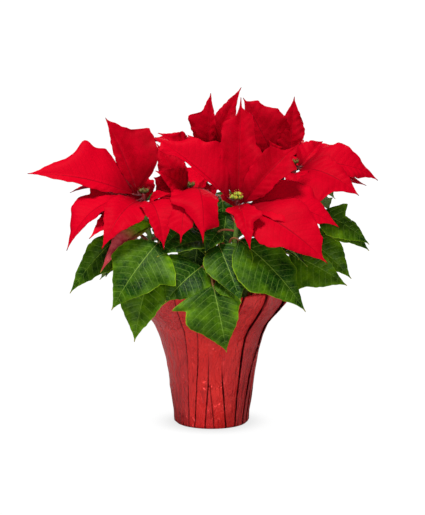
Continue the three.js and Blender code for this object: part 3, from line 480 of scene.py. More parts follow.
# %% Rows of the side blades
FACE_TILT = 0.9  # how far a rising blade's face tips back towards the stem
BRACT_FOLD, BRACT_ARCH, TOOTHED_HALF, SIDE_TEETH = 12, 0.12, 28, [[0.55, 3], [-0.6, 3]]
LEAF_FOLD, LEAF_ARCH, STALK_SHARE, BLADE_SHARE, STALK_RISE = 8, 0.08, 0.33, 0.8, math.radians(52)


def side_face(turn, rise):
    tilt = FACE_TILT * rise
    return np.array([0, 0, math.cos(tilt)]) - direction(turn, 0) * math.sin(tilt)


def side_bract_row(root, turn, rise, length, half):
    turn, rise = math.radians(turn), math.radians(rise)
    teeth = SIDE_TEETH if half >= TOOTHED_HALF else []
    return [root + direction(turn, rise) * length, [half, half], side_face(turn, rise), BRACT_FOLD,
            BRACT_ARCH * length, teeth]


def side_leaf_row(root, turn, rise, length, half):
    turn, rise = math.radians(turn), math.radians(rise)
    base = root + direction(turn, rise + STALK_RISE) * STALK_SHARE * length
    return [base, base + direction(turn, rise) * BLADE_SHARE * length, [half, half], side_face(turn, rise),
            LEAF_FOLD, LEAF_ARCH * length, []]


print("tip of a level side bract of 80 mm:", side_bract_row(np.zeros(3), 0, 0, 80, 25)[0].tolist())


# %% All blades of a head
PHASE_STEP = 1.7  # sets each blade's waves apart from its neighbour's
BRACT_STALK_SHARE, BRACT_CLEARANCE, BRACT_LIFT, BRACT_ROOT, BRACT_SPACING = 0.1, 9, 0.05, 1.6, 1.7


def leaf_blades(head):
    rows = head["leaves"] + [[at, *side_leaf_row(stem_path(head, at), *shape)]
                             for at, *shape in head["side_leaves"]]
    return [Blade(LEAF, stem_path(head, at), base, row, i * PHASE_STEP)
            for i, (at, base, *row) in enumerate(rows)]


def bract_blades(head):
    blades = []
    for i, shape in enumerate(head["bracts"] + head["side_bracts"]):
        root = np.array(head["top"], float) - [0, 0, 2 + BRACT_SPACING * i]
        row = shape if isinstance(shape[0], list) else side_bract_row(root, *shape)
        chord = np.asarray(row[0], float) - root
        away = math.hypot(*chord[:2])
        level = np.array([*chord[:2], 0]) / away
        base = root + level * max(away * BRACT_STALK_SHARE, BRACT_CLEARANCE) + [0, 0, chord[2] * BRACT_LIFT]
        blades.append(Blade(BRACT, root + level * BRACT_ROOT, base, row, i * PHASE_STEP))
    return blades


print("blades:", sum(len(leaf_blades(head)) + len(bract_blades(head)) for head in HEADS))

# %% [markdown]
# ## Finishes
#
# All finishes are node trees on Blender's Principled shader, so they export as physical materials. Colours
# are written as sRGB hex, as a colour picker shows them, and turned to linear light by one function.
# Pattern sizes come from millimetres: a coordinate in metres times 1000 gives one noise cell a millimetre.

# %% Colour and node helpers
def hex_rgb(code):
    values = [int(code[i:i + 2], 16) / 255 for i in (1, 3, 5)]
    return (*[v / 12.92 if v <= 0.04045 else ((v + 0.055) / 1.055) ** 2.4 for v in values], 1.0)


def add(tree, kind, inputs=None, out=0, **settings):
    """Adds a shader node and returns its output. Inputs are numbers, hex colours or the outputs to link."""
    node = tree.nodes.new("ShaderNode" + kind)
    for name, value in settings.items():
        setattr(node, name, value)
    for name, value in (inputs or {}).items():
        if isinstance(value, bpy.types.NodeSocket):
            tree.links.new(value, node.inputs[name])
        else:
            node.inputs[name].default_value = hex_rgb(value) if isinstance(value, str) else value
    return node.outputs[out] if node.outputs else None


def new_finish(name, surface):
    """A material with its Principled shader, whose plain sockets are set from a table."""
    finish = bpy.data.materials.new(name)
    finish.use_nodes = True
    shader = finish.node_tree.nodes["Principled BSDF"]
    for socket, value in surface.items():
        shader.inputs[socket].default_value = hex_rgb(value) if isinstance(value, str) else value
    return finish, finish.node_tree, shader


def dress(tree, shader, colour, reliefs):
    """Gives the shader its colour and its reliefs, one over the other: each a height, a strength, a depth."""
    tree.links.new(colour, shader.inputs["Base Color"])
    below = {}
    for height, strength, depth in reliefs:
        relief = add(tree, "Bump", {"Height": height, "Strength": strength, "Distance": depth, **below})
        below = {"Normal": relief}
        tree.links.new(relief, shader.inputs["Normal"])


print("a mid grey in linear light:", round(hex_rgb("#808080")[0], 3))

# %% [markdown]
# Bracts and leaves have the same parts, so their finishes read the same data from the mesh. The vein
# attribute counts the side veins, so the distance to the nearest whole-and-a-half number draws their lines,
# and they stay on the crests that the mesh already has. A web of cells about 5 mm across draws the fine net
# between them: the real net is finer, and would be lost at this size. All patterns lie in millimetres of the
# flattened blade, so they bend with it.

# %% The parts of a blade, each as a share from 0 to 1
def blade_parts(tree, noises, net, ramps, bands):
    """Sockets by name. Ramps change evenly over their limits, and bands have soft ends."""
    parts = {field: add(tree, "Attribute", out="Fac", attribute_name=field) for field in Bunch.FIELDS}
    flat = add(tree, "Attribute", out="Vector", attribute_name="flat")
    for part, source, operation in (("out", "across", "ABSOLUTE"), ("cell", "vein", "FRACT"),
                                    ("gap", "cell", "SUBTRACT"), ("near", "gap", "ABSOLUTE")):
        parts[part] = add(tree, "Math", {0: parts[source], 1: 0.5}, operation=operation)
    for part, (scale, detail, roughness) in noises.items():
        parts[part] = add(tree, "TexNoise", {"Vector": flat, "Scale": scale, "Detail": detail,
                                             "Roughness": roughness})
    parts["net"] = add(tree, "TexVoronoi", {"Vector": flat, "Scale": net}, out="Distance",
                       feature="DISTANCE_TO_EDGE")
    for style, table in (("LINEAR", ramps), ("SMOOTHSTEP", bands)):
        for part, (source, start, end, low, high) in table.items():
            limits = {"From Min": start, "From Max": end, "To Min": low, "To Max": high}
            parts[part] = add(tree, "MapRange", {"Value": parts[source], **limits}, interpolation_type=style)
    parts["veins"] = add(tree, "Math", {0: parts["line"], 1: parts["fade"]}, operation="MULTIPLY")
    return parts


def lay_coats(tree, parts, ground, coats):
    """Lays each coat over the colours below it, as far as its part of the blade reaches."""
    for part, paint in coats:
        ground = add(tree, "Mix", {0: parts[part], 6: ground, 7: parts.get(paint, paint)}, out=2,
                     data_type="RGBA")
    return ground


print("data that the mesh gives each point:", Bunch.FIELDS)


# %% [markdown]
# A bract's red is a velvety pigment layer: matt, with next to no gloss, bright where light falls and deep
# carmine in the shade, and cooler on the underside. Veins and net are fine lines, slightly darker than the
# ground, and the midrib and the foot of the blade are darker still; the foot's dark is painted shade, where
# the bracts crowd at the heart of the rosette. The tone attribute is higher on bracts that face up, which are
# painted a lighter red as if lit from above: painted light.

# %% Bract finish
def bract_finish():
    finish, tree, shader = new_finish("velvety_red_bract", {
        "Roughness": 0.55, "IOR": 1.42, "Specular IOR Level": 0.03,
        "Sheen Weight": 0.015, "Sheen Roughness": 0.5, "Sheen Tint": "#ff3050"})
    parts = blade_parts(
        tree, {"cloud": (0.07, 4.0, 0.6), "speck": (0.9, 3.0, 0.5)}, 0.2,
        {"mottle": ("cloud", 0.32, 0.68, 0, 1), "fade": ("out", 0.55, 0.97, 0.25, 0),
         "web": ("net", 0, 0.12, 0.1, 0)},
        {"line": ("near", 0, 0.07, 1, 0), "midrib": ("out", 0, 0.04, 0.7, 0),
         "foot": ("along", 0, 0.36, 0.75, 0), "edge": ("out", 0.9, 1, 0, 0.5),
         "tip": ("along", 0.965, 1, 0, 0.8), "pucker": ("net", 0, 0.4, 0, 1)})
    # the foot coat is painted shade where the bracts crowd at the rosette's heart, and the tone coat is
    # painted light
    colour = lay_coats(tree, parts, "#960010", [
        ("mottle", "#ba001b"), ("tone", "#d0001f"), ("web", "#84000f"), ("veins", "#82000f"),
        ("midrib", "#7c0414"), ("foot", "#5c0008"), ("edge", "#b4001a"), ("under", "#a2002a"),
        ("tip", "#5a1410")])
    dress(tree, shader, colour, [(parts["speck"], 0.35, 0.0004), (parts["pucker"], 0.18, 0.0005)])
    return finish


BRACT_FINISH = bract_finish()
print("finish:", BRACT_FINISH.name)

# %% [markdown]
# A green leaf is satin: a waxy skin over deep green, with pale yellow-green veins, a thin yellow edge, and
# blotches of lighter and darker green. Leaves that hang low, and leaves on the right of the plant, are
# painted yellower, and leaves high up under the bracts darker: painted light and painted shade. Each blade is
# also lighter towards its rim. The tone attribute, one number a leaf, carries the painted light and shade,
# with a little chance. One leaf has begun to colour like a bract: its tone is above 1, and it turns pink past
# its foot.

# %% Leaf finish
def leaf_finish():
    finish, tree, shader = new_finish("satin_green_leaf", {
        "Roughness": 0.46, "IOR": 1.45, "Specular IOR Level": 0.09})
    parts = blade_parts(
        tree, {"cloud": (0.08, 5.0, 0.65), "speck": (1.1, 3.0, 0.5), "blotch": (0.03, 2.0, 0.5)}, 0.22,
        {"mottle": ("cloud", 0.3, 0.7, 0, 1), "fade": ("out", 0.5, 0.98, 0.42, 0.08),
         "web": ("net", 0, 0.09, 0.18, 0), "rim": ("out", 0.45, 1, 0, 0.36),
         "patch": ("blotch", 0.35, 0.65, -0.35, 0.25)},
        {"line": ("near", 0, 0.055, 1, 0), "midrib": ("out", 0, 0.022, 0.85, 0),
         "edge": ("out", 0.965, 1, 0, 0.7), "past_foot": ("along", 0.2, 0.5, 0, 1),
         "tip": ("along", 0.94, 1, 0, 0.8), "pucker": ("net", 0, 0.35, 0, 1)})
    # the tone attribute is painted light and shade: with the rim and the blotches it sets how far the green
    # turns yellow
    for part, first, second, operation, held in (
            ("at_rim", "tone", "rim", "ADD", False), ("painted_light_and_tint", "at_rim", "patch", "ADD", True),
            ("turned", "tone", 1.0, "SUBTRACT", True), ("blush", "turned", "past_foot", "MULTIPLY", False)):
        parts[part] = add(tree, "Math", {0: parts[first], 1: parts.get(second, second)}, operation=operation,
                          use_clamp=held)
    parts["yellow_green"] = lay_coats(tree, parts, "#386c04", [("mottle", "#7ea80a")])
    parts["pink"] = lay_coats(tree, parts, "#a8182c", [("mottle", "#d05a5e")])
    colour = lay_coats(tree, parts, "#081d02", [
        ("mottle", "#1c4604"), ("painted_light_and_tint", "yellow_green"), ("web", "#6c9430"), ("veins", "#93b350"),
        ("midrib", "#85a53c"), ("edge", "#9cbc1e"), ("under", "#7a9450"), ("blush", "pink"),
        ("tip", "#b3a63a")])
    dress(tree, shader, colour, [(parts["speck"], 0.3, 0.0004), (parts["pucker"], 0.3, 0.0006)])
    return finish


LEAF_FINISH = leaf_finish()
print("finish:", LEAF_FINISH.name)

# %% [markdown]
# Stalks, stems and flowers share one kind of skin: a smooth colour that changes along the piece, with fine
# streaks on the stems and specks on the flowers. One noise, stretched for the streaks, gives them both in
# colour and in relief.

# %% Finishes of the fleshy pieces
STEM_SKIN = {"start": -0.4, "stretch": (PER_METRE, PER_METRE, 120), "scale": 0.9, "detail": 4.0,
             "lightest": 1.2, "relief": (0.4, 0.0004)}
FLOWER_SKIN = {"start": 0.0, "stretch": (1, 1, 1), "scale": 1500.0, "detail": 3.0,
               "lightest": 1.25, "relief": (0.3, 0.0002)}
DARKEST = 0.7


def fleshy_finish(name, low, high, roughness, skin):
    finish, tree, shader = new_finish(name, {"Roughness": roughness, "IOR": 1.45})
    along = add(tree, "Attribute", out="Fac", attribute_name="along")
    place = add(tree, "TexCoord", out="Object")
    long = add(tree, "Mapping", {"Vector": place, "Scale": skin["stretch"]})
    streak = add(tree, "TexNoise", {"Vector": long, "Scale": skin["scale"], "Detail": skin["detail"]})
    share = add(tree, "MapRange", {"Value": along, "From Min": skin["start"], "From Max": 1.0})
    light = add(tree, "MapRange", {"Value": streak, "To Min": DARKEST, "To Max": skin["lightest"]})
    plain = add(tree, "Mix", {0: share, 6: low, 7: high}, out=2, data_type="RGBA")
    colour = add(tree, "Mix", {0: 1.0, 6: plain, 7: light}, out=2, data_type="RGBA", blend_type="MULTIPLY")
    dress(tree, shader, colour, [(streak, *skin["relief"])])
    return finish


GREEN_STEM = fleshy_finish("fresh_green_stem", "#4f7424", "#6d8a34", 0.5, STEM_SKIN)
RED_STEM = fleshy_finish("reddened_stem", "#5e1a18", "#7a0c16", 0.5, STEM_SKIN)
LEAF_STALK = fleshy_finish("leaf_stalk", "#9a3a34", "#93a84a", 0.45, STEM_SKIN)
BRACT_STALK = fleshy_finish("bract_stalk", "#560a10", "#8a0a1a", 0.5, STEM_SKIN)
print("stem finishes:", [m.name for m in (GREEN_STEM, RED_STEM, LEAF_STALK, BRACT_STALK)])

# %% [markdown]
# ## The leafy stems
#
# Each leafy stem is one living piece: the stem, slightly swollen where leaves stood, and its leaves on their
# stalks. A leaf's tone is painted light and shade: it comes from how low its tip hangs, as leaves high up
# under the bracts are painted darker, from the light on its side of the plant, as leaves on the right are
# painted lighter, and from a little chance. The chance comes from a fixed row of numbers, so every run gives
# the same plant.

# %% Seeded chance, and how a piece takes its place
def random_run(seed):
    state = seed
    while True:
        state = (state * 16807) % 2147483647
        yield state / 2147483647


def shown(piece, node):
    """Puts a finished piece on the object's body, in place of its plain CAD node."""
    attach(piece, "root")
    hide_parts(node)


# %% Build the leafy stems
STEM_FOOT, STEM_TOP, STEM_SIDES = 3.7, 3.1, 16  # radii, and facets round a stem
SWELLINGS, SWELLING, SWELLING_WIDTH = np.linspace(0.3, 0.98, 7), 0.09, 0.012
LOW_TIP, LOW_TONE, TONE_FALL = 130, 0.34, 170  # the higher a leaf's tip, the darker its green: painted shade under the bracts
SUNNY_SIDE, SUNNY_RAMP, SUNNY_TONE = 105, 60, 0.45  # past this x the leaves are painted lighter: painted light
TONE_SPREAD, DARKEST_TONE = 0.3, -0.3
BLUSHING, BLUSH_TONE = ("left", (-135, -75, 202)), 2.0  # the leaf that turns pink: its stem, and its tip
chance = random_run(7)
for head in HEADS:
    bunch = Bunch()
    share = np.linspace(0, 1, 40)
    swollen = 1 + SWELLING * np.exp(-((share[:, None] - SWELLINGS) / SWELLING_WIDTH) ** 2).sum(1)
    radii = blend_to(STEM_FOOT, STEM_TOP, share) * swollen
    bunch.add(*tube(stem_path(head, share), radii, STEM_SIDES), 2, along=np.repeat(share, STEM_SIDES))
    for blade in leaf_blades(head):
        tone = BLUSH_TONE
        if (head["name"], tuple(blade.tip)) != BLUSHING:
            # painted shade and light: a tip high under the bracts makes the leaf darker, and one on the right
            # makes it lighter
            low = LOW_TONE - (blade.tip[2] - LOW_TIP) / TONE_FALL
            sunlit = SUNNY_TONE * np.clip((blade.tip[0] - SUNNY_SIDE) / SUNNY_RAMP, 0, 1)
            tone = np.clip(low + sunlit + TONE_SPREAD * (next(chance) - 0.5), DARKEST_TONE, 1)
        add_blade(bunch, blade, tone)
    piece = bunch.make(f"leaves_{head['name']}", [LEAF_FINISH, LEAF_STALK, GREEN_STEM])
    shown(piece, f"leafy_stem_{head['name']}")

# %% [markdown]
# ## The rosettes of bracts
#
# The rosette is the red top of the stem with its bracts. A bract differs from a leaf only in the numbers of
# its row and in its finish, so the same rule serves.

# %% Build the rosettes
TOP_RADIUS, TOP_UNEVEN, TOP_WAVE, STEM_SINK = 2.9, 0.25, 9, 0.3
UP_TONE, UPRIGHT_FALL, BRACT_SPREAD = 1.25, 1.5, 0.35
for head in HEADS:
    bunch = Bunch()
    top = np.array(head["top"], float)
    foot = top - [0, 0, RED_LENGTH - STEM_SINK]
    share = np.linspace(0, 1, 14)
    radii = TOP_RADIUS + TOP_UNEVEN * np.sin(share * TOP_WAVE)
    bunch.add(*tube(blend_to(foot, top, share[:, None]), radii, STEM_SIDES), 2,
              along=np.repeat(share, STEM_SIDES))
    for blade in bract_blades(head):
        # painted light: a bract that faces up gets a higher tone, and so a lighter red, as if lit from above
        upright = 1 - abs(float(blade.face[2]))
        light = UP_TONE - UPRIGHT_FALL * upright + BRACT_SPREAD * (next(chance) - 0.5)
        add_blade(bunch, blade, np.clip(light, 0, 1))
    piece = bunch.make(f"rosette_{head['name']}", [BRACT_FINISH, BRACT_STALK, RED_STEM])
    shown(piece, f"bracts_{head['name']}")

# %% [markdown]
# ## Flowers
#
# What looks like the flower is leaves. The real flowers are the small green cups in the middle, each with
# a yellow nectar gland on its side and a few red-tipped stamens. A sphere would do from across the room,
# but close up the lobed rim, the gland's lips and the stamens are what makes it a poinsettia. One cluster
# is open. The others are still closed, and are painted a dark brown-green: painted shade, as they sit deep
# in their rosettes.

# %% Flower finishes
CUP_FINISH = fleshy_finish("green_flower_cup", "#3c560e", "#aebc36", 0.5, FLOWER_SKIN)
# painted shade: the closed clusters sit deep among the bracts, so their cups are painted dark
SHADED_BUD_FINISH = fleshy_finish("shaded_closed_flower_cup", "#2c260a", "#6c6420", 0.5, FLOWER_SKIN)
GLAND_FINISH = fleshy_finish("yellow_nectar_gland", "#c9a81e", "#ecd64a", 0.3, FLOWER_SKIN)
STAMEN_FINISH = fleshy_finish("red_stamen", "#b8202c", "#8f0c1c", 0.5, FLOWER_SKIN)
print("flower finishes:", [m.name for m in (CUP_FINISH, SHADED_BUD_FINISH, GLAND_FINISH, STAMEN_FINISH)])

# %% The cup and its gland
CUP_PROFILE = np.array([[1.0, 0], [1.7, 0.7], [2.15, 1.7], [2.3, 2.8], [2.15, 3.9], [1.7, 4.7], [1.2, 5.1],
                        [0.75, 4.9], [0.6, 4.2]])
CUP_SIDES, CUP_HEIGHT, LOBES, RIM_START, RIM_RAMP = 20, 5.1, 5, 3.5, 1.6
LOBE_BELOW, LOBE_AT_RIM, LOBE_LIFT = 0.05, 0.16, 0.35
GLAND_HEIGHT, GLAND_OUT, LIP_WIDE, LIP_HIGH, LIP_BULGE, LIP_RADIUS = 3.4, 2.2, 1.25, 0.75, 0.25, 0.42
DISH_PROFILE = [[0.1, -0.4], [0.9, -0.1], [0.95, 0.1], [0.2, 0.15]]


def ring_tube(path, radius, sides):
    """A tube along a closed path, for lips."""
    tangents = unit(np.roll(path, -1, 0) - np.roll(path, 1, 0))
    middle = path.mean(0)
    rings = []
    for point, tangent in zip(path, tangents):
        out = unit((point - middle) - tangent * ((point - middle) @ tangent))
        rings.append(point + radius * circle(sides, out, np.cross(tangent, out)))
    return stacked(rings, looped=True)


def add_gland(bunch, centre, out, axis, size):
    """An oval lip with a hollow dish in it."""
    lip = np.stack([centre + size * (math.cos(a) * LIP_WIDE * np.cross(out, axis)
                                     + math.sin(a) * LIP_HIGH * axis + LIP_BULGE * out * abs(math.cos(a)))
                    for a in np.arange(16) / 16 * TURN])
    bunch.add(*ring_tube(lip, LIP_RADIUS * size, 8), 1, along=0.8)
    dish, walls = turned(DISH_PROFILE, 12, centre, out)
    bunch.add(blend_to(centre, dish, size), walls, 1, along=0.1)


print("a cup is", CUP_PROFILE[:, 0].max() * 2, "mm wide and", CUP_HEIGHT, "mm high")


# %% A whole flower
STAMENS, STAMEN_FOOT, STAMEN_RADIUS = 6, 4.3, 0.16
LEAN, LENGTH = (0.2, 0.35), (1.6, 2.2)  # of a stamen: the least, and what chance adds
RED_SHARE = 0.6  # of the anthers; the others are yellow
ANTHER_PROFILE = [[0.06, -0.3], [0.3, -0.12], [0.32, 0.12], [0.06, 0.3]]


def add_flower(bunch, foot, axis, spin, size, chance):
    axis = unit(axis)
    side = unit(np.cross(axis, [0.2, 1, 0.1]))
    other = np.cross(axis, side)
    lobes = np.cos(LOBES * np.arange(CUP_SIDES) / CUP_SIDES * TURN + spin)
    ring = circle(CUP_SIDES, side, other)
    rings = []
    for radius, height in CUP_PROFILE:
        rim = np.clip((height - RIM_START) / RIM_RAMP, 0, 1)
        reach = radius * (1 + (LOBE_BELOW + LOBE_AT_RIM * rim) * lobes) * size
        lift = (height + LOBE_LIFT * rim * lobes) * size
        rings.append(foot + axis * lift[:, None] + ring * reach[:, None])
    bunch.add(*stacked(rings), 0, along=np.repeat(CUP_PROFILE[:, 1] / CUP_HEIGHT, CUP_SIDES))
    out = math.cos(spin) * side + math.sin(spin) * other
    add_gland(bunch, foot + (axis * GLAND_HEIGHT + out * GLAND_OUT) * size, out, axis, size)
    for i in range(STAMENS):
        turn = i * TURN / STAMENS + spin
        lean = (LEAN[0] + LEAN[1] * next(chance)) * (math.cos(turn) * side + math.sin(turn) * other)
        start = foot + axis * STAMEN_FOOT * size + lean * 0.8
        end = start + unit(axis + lean) * (LENGTH[0] + LENGTH[1] * next(chance)) * size
        bunch.add(*tube([start, (start + end) / 2 + lean * 0.3, end], STAMEN_RADIUS, 6), 2, along=0.0)
        anther, walls = turned(ANTHER_PROFILE, 8, end, axis + lean)
        bunch.add(anther, walls, 2 if next(chance) < RED_SHARE else 1, along=0.6)


sample_flower = Bunch()
add_flower(sample_flower, np.zeros(3), [0, 0, 1], 0, 1, random_run(1))
print("faces of one flower:", len(sample_flower.faces))


# %% Build the clusters
# Tiers of cups: how many, how far from the middle, how far they lean out in degrees, and how high they stand.
OPEN_TIERS = [(6, 4.2, 36, 0.6), (3, 2.0, 14, 3.2)]
CLOSED_TIERS = [(4, 2.9, 26, 0.6)]
CUSHION_PROFILE = [[2.4, 0], [3.1, 0.6], [3.4, 1.2], [2.6, 1.9], [1, 2.1]]
CUSHION_LIFT, TIER_TWIST, FLOWER_SPIN, SMALLEST, SIZE_SPREAD = 0.3, 0.3, 1.1, 0.85, 0.25
for head in HEADS:
    is_open = head is HEADS[0]
    bunch = Bunch()
    foot = np.array(head["top"], float) + [0, 0, CUSHION_LIFT]
    bunch.add(*turned(CUSHION_PROFILE, 20, foot), 0, along=0.2)
    for around, reach, tilt, lift in OPEN_TIERS if is_open else CLOSED_TIERS:
        for i in range(around):
            turn = TURN * (i + TIER_TWIST * lift) / around
            place = foot + [0, 0, lift] + direction(turn, 0) * reach
            add_flower(bunch, place, direction(turn, math.radians(90 - tilt)), turn + FLOWER_SPIN * i,
                       SMALLEST + SIZE_SPREAD * next(chance), chance)
    # the closed clusters take the dark cup finish, which is painted shade
    skins = [CUP_FINISH, GLAND_FINISH] if is_open else [SHADED_BUD_FINISH, SHADED_BUD_FINISH]
    piece = bunch.make(f"cups_{head['name']}", [*skins, STAMEN_FINISH])
    shown(piece, f"flowers_{head['name']}")

# %% [markdown]
# ## Pieces of mixed matter
#
# Bark, pot plastic, peat and perlite are each two close colours that a noise mixes. Only the size and the
# stretch of its cells differ, and what gives the relief. One function makes what they share.

# %% What the mottled finishes share
def mottled_finish(name, roughness, dark, light, limits, cells, stretch=(1, 1, 1)):
    finish, tree, shader = new_finish(name, {"Roughness": roughness})
    place = add(tree, "TexCoord", out="Object")
    long = add(tree, "Mapping", {"Vector": place, "Scale": stretch})
    mottle = add(tree, "TexNoise", {"Vector": long, **cells})
    share = add(tree, "MapRange", {"Value": mottle, "From Min": limits[0], "From Max": limits[1]})
    colour = add(tree, "Mix", {0: share, 6: dark, 7: light}, out=2, data_type="RGBA")
    dress(tree, shader, colour, [])
    return finish, tree, shader, colour, place, mottle


def noise_at(points, scale, shift=0.0):
    scale = np.asarray(scale, float)
    return np.array([noise.noise(Vector(point)) for point in (points * scale + shift).tolist()])


print("a noise along a line:", np.round(noise_at(np.linspace([0, 0, 0], [3, 2, 1], 4), 0.7), 2).tolist())


# %% [markdown]
# ## Woody stem
#
# The trunk is last year's wood: grey-brown bark with shallow fissures that run up it, and rings where old
# leaves stood. A noise that is stretched along the stem gives the fissures, in the mesh and in the finish.

# %% Bark finish
def bark_finish():
    finish, tree, shader, colour, _, fissures = mottled_finish(
        "fissured_bark", 0.85, "#4a4128", "#8d8558", (0.35, 0.65),
        {"Scale": 0.7, "Detail": 6.0, "Roughness": 0.65}, (PER_METRE, PER_METRE, 250))
    dress(tree, shader, colour, [(fissures, 0.6, 0.0008)])
    return finish


BARK_FINISH = bark_finish()
print("finish:", BARK_FINISH.name)


# %% Build the woody stem
TRUNK_SIDES, TRUNK_RINGS = 72, 90
SHOULDER_HEIGHT, SHOULDER_DRAW = 3, 0.3
LEAF_SCARS, SCAR_HEIGHT = ((104, 1.2), (117, 1.0)), 0.5  # heights and widths
FISSURE_CELLS, FISSURE_DEPTH = (0.55, 0.55, 0.07), 0.6
around = circle(TRUNK_SIDES)
rings = []
for level in np.linspace(TRUNK["foot"], TRUNK["top"], TRUNK_RINGS):
    shoulder = np.clip((level - TRUNK["top"] + SHOULDER_HEIGHT) / SHOULDER_HEIGHT, 0, 1)
    scar = sum(SCAR_HEIGHT * math.exp(-((level - height) / width) ** 2) for height, width in LEAF_SCARS)
    ring = around * (TRUNK["radius"] * (1 - SHOULDER_DRAW * shoulder ** 2) + scar) + [0, 0, level]
    rings.append(ring + around * (FISSURE_DEPTH * noise_at(ring, FISSURE_CELLS, 3.1))[:, None])
bunch = Bunch()
bunch.add(*stacked(rings))
shown(bunch.make("trunk", [BARK_FINISH]), "woody_stem")

# %% [markdown]
# ## Grower's pot
#
# The inner pot is thin moulded plastic with a rolled lip, a few raised rings and drain holes. It is turned
# like a lathe part, and the holes are cut with a Boolean, as they go right through. Moulded plastic has an
# even colour and a faint grain, and it is shinier where it was scuffed least.

# %% Plastic finish
def plastic_finish():
    finish, tree, shader, colour, place, scuff = mottled_finish(
        "moulded_pot_plastic", 0.5, "#5a2f22", "#74402f", (0.35, 0.65), {"Scale": 90.0, "Detail": 6.0})
    gloss = add(tree, "MapRange", {"Value": scuff, "To Min": 0.45, "To Max": 0.65})
    tree.links.new(gloss, shader.inputs["Roughness"])
    grain = add(tree, "TexNoise", {"Vector": place, "Scale": 1600.0, "Detail": 2.0})
    dress(tree, shader, colour, [(grain, 0.2, 0.0002)])
    return finish


PLASTIC_FINISH = plastic_finish()
print("finish:", PLASTIC_FINISH.name)


# %% The pot's profile
POT_FOOT = 1.3  # the height that it stands at, on the cover's floor
POT_NARROW, POT_WIDE, POT_HEIGHT, POT_WALL = 42, 56, 108, 1.2
RAISED_RINGS, RING_HEIGHT, RING_WIDTH, WALL_DRAW = (18, 60, 66, 88), 0.5, 1.1, 0.15


def pot_radius(height):
    return blend_to(POT_NARROW, POT_WIDE, height / POT_HEIGHT)


outside = [[36, 0.9], [39, 0.9], [40, 0], [41.6, 0.1], [42.1, 0.9]]
for height in np.linspace(3, 97, 60):
    bead = RING_HEIGHT * sum(math.exp(-((height - ring) / RING_WIDTH) ** 2) for ring in RAISED_RINGS)
    outside.append([pot_radius(height) + bead - WALL_DRAW, height])
outside += [[pot_radius(98), 98], [57.0, 98.4], [57.5, 99.2], [57.5, 106.9], [57.1, 107.7],
            [56.3, POT_HEIGHT]]
inside = [[55.3, POT_HEIGHT], [54.9, 107.6], [54.7, 106]]
inside += [[pot_radius(height) - POT_WALL, height] for height in np.linspace(104, 1.3, 24)]
print("points in the pot's profile:", len(outside) + len(inside))

# %% Build the grower's pot
HOLES, HOLE_AWAY, HOLE_RADIUS = 4, 26, 4
bunch = Bunch()
bunch.add(*turned([[0.4, 0.9]] + outside + inside + [[0.4, 1.2]], 96, (0, 0, POT_FOOT)))
pot = bunch.make("plastic_pot", [PLASTIC_FINISH])
cutters = Bunch()
for spot in circle(HOLES) * HOLE_AWAY:
    cutters.add(*turned([[HOLE_RADIUS, 0], [HOLE_RADIUS, 6]], 24, spot + [0, 0, POT_FOOT - 2]))
cutter = cutters.make("hole_cutter", [])
cut = pot.modifiers.new("drain holes", "BOOLEAN")
cut.object, cut.operation, cut.solver = cutter, "DIFFERENCE", "EXACT"
bpy.context.view_layer.objects.active = pot
bpy.ops.object.modifier_apply(modifier=cut.name)
bpy.data.objects.remove(cutter)
shown(pot, "grower_pot")

# %% [markdown]
# ## Peat
#
# Potting peat is a dark crumbly mix with bits of bark and white perlite, quite matt. The surface is a polar
# grid that noise lifts, and small lumps lie half sunk in it. The body below is plain, as the pot hides it.

# %% Peat and perlite finishes
def peat_finish():
    finish, tree, shader, colour, place, _ = mottled_finish(
        "crumbly_peat", 0.95, "#1c120b", "#4d3725", (0.35, 0.7),
        {"Scale": 260.0, "Detail": 8.0, "Roughness": 0.7})
    crumbs = add(tree, "TexVoronoi", {"Vector": place, "Scale": 450.0}, out="Distance")
    dress(tree, shader, colour, [(crumbs, 0.8, 0.001)])
    return finish


PEAT_FINISH = peat_finish()
PERLITE_FINISH = mottled_finish("white_perlite", 0.9, "#a89e8c", "#e9e5da", (0.3, 0.6),
                                {"Scale": 1400.0, "Detail": 4.0})[0]
print("finishes:", PEAT_FINISH.name, PERLITE_FINISH.name)

# %% The peat's surface
SOIL_TOP, SOIL_FOOT, SOIL_HOLE, SOIL_SIDES, SOIL_GAP = 95, 1.5, 7.2, 150, 1.5
HUMPS = ((1.6, 0.09, 0.0), (1.1, 0.33, 5.0), (0.6, 0.9, 9.0))  # height, cells a millimetre, and shift
around = circle(SOIL_SIDES)
edge = pot_radius(SOIL_TOP - POT_FOOT) - SOIL_GAP
rings = [around * (pot_radius(SOIL_FOOT) - SOIL_GAP) + [0, 0, POT_FOOT + SOIL_FOOT]]
for reach in np.linspace(edge, SOIL_HOLE, 48):
    ring = around * reach + [0, 0, SOIL_TOP]
    inner_share = min(1, (edge - reach) / 2, (reach - SOIL_HOLE) / 2)
    lumps = sum(height * noise_at(ring, cells, shift) for height, cells, shift in HUMPS)
    rings.append(ring + [0, 0, inner_share] * lumps[:, None])
rings.append(around * SOIL_HOLE + [0, 0, TRUNK["foot"] - 0.3])
bunch = Bunch()
bunch.add(*stacked(rings))
print("rings in the peat:", len(rings))

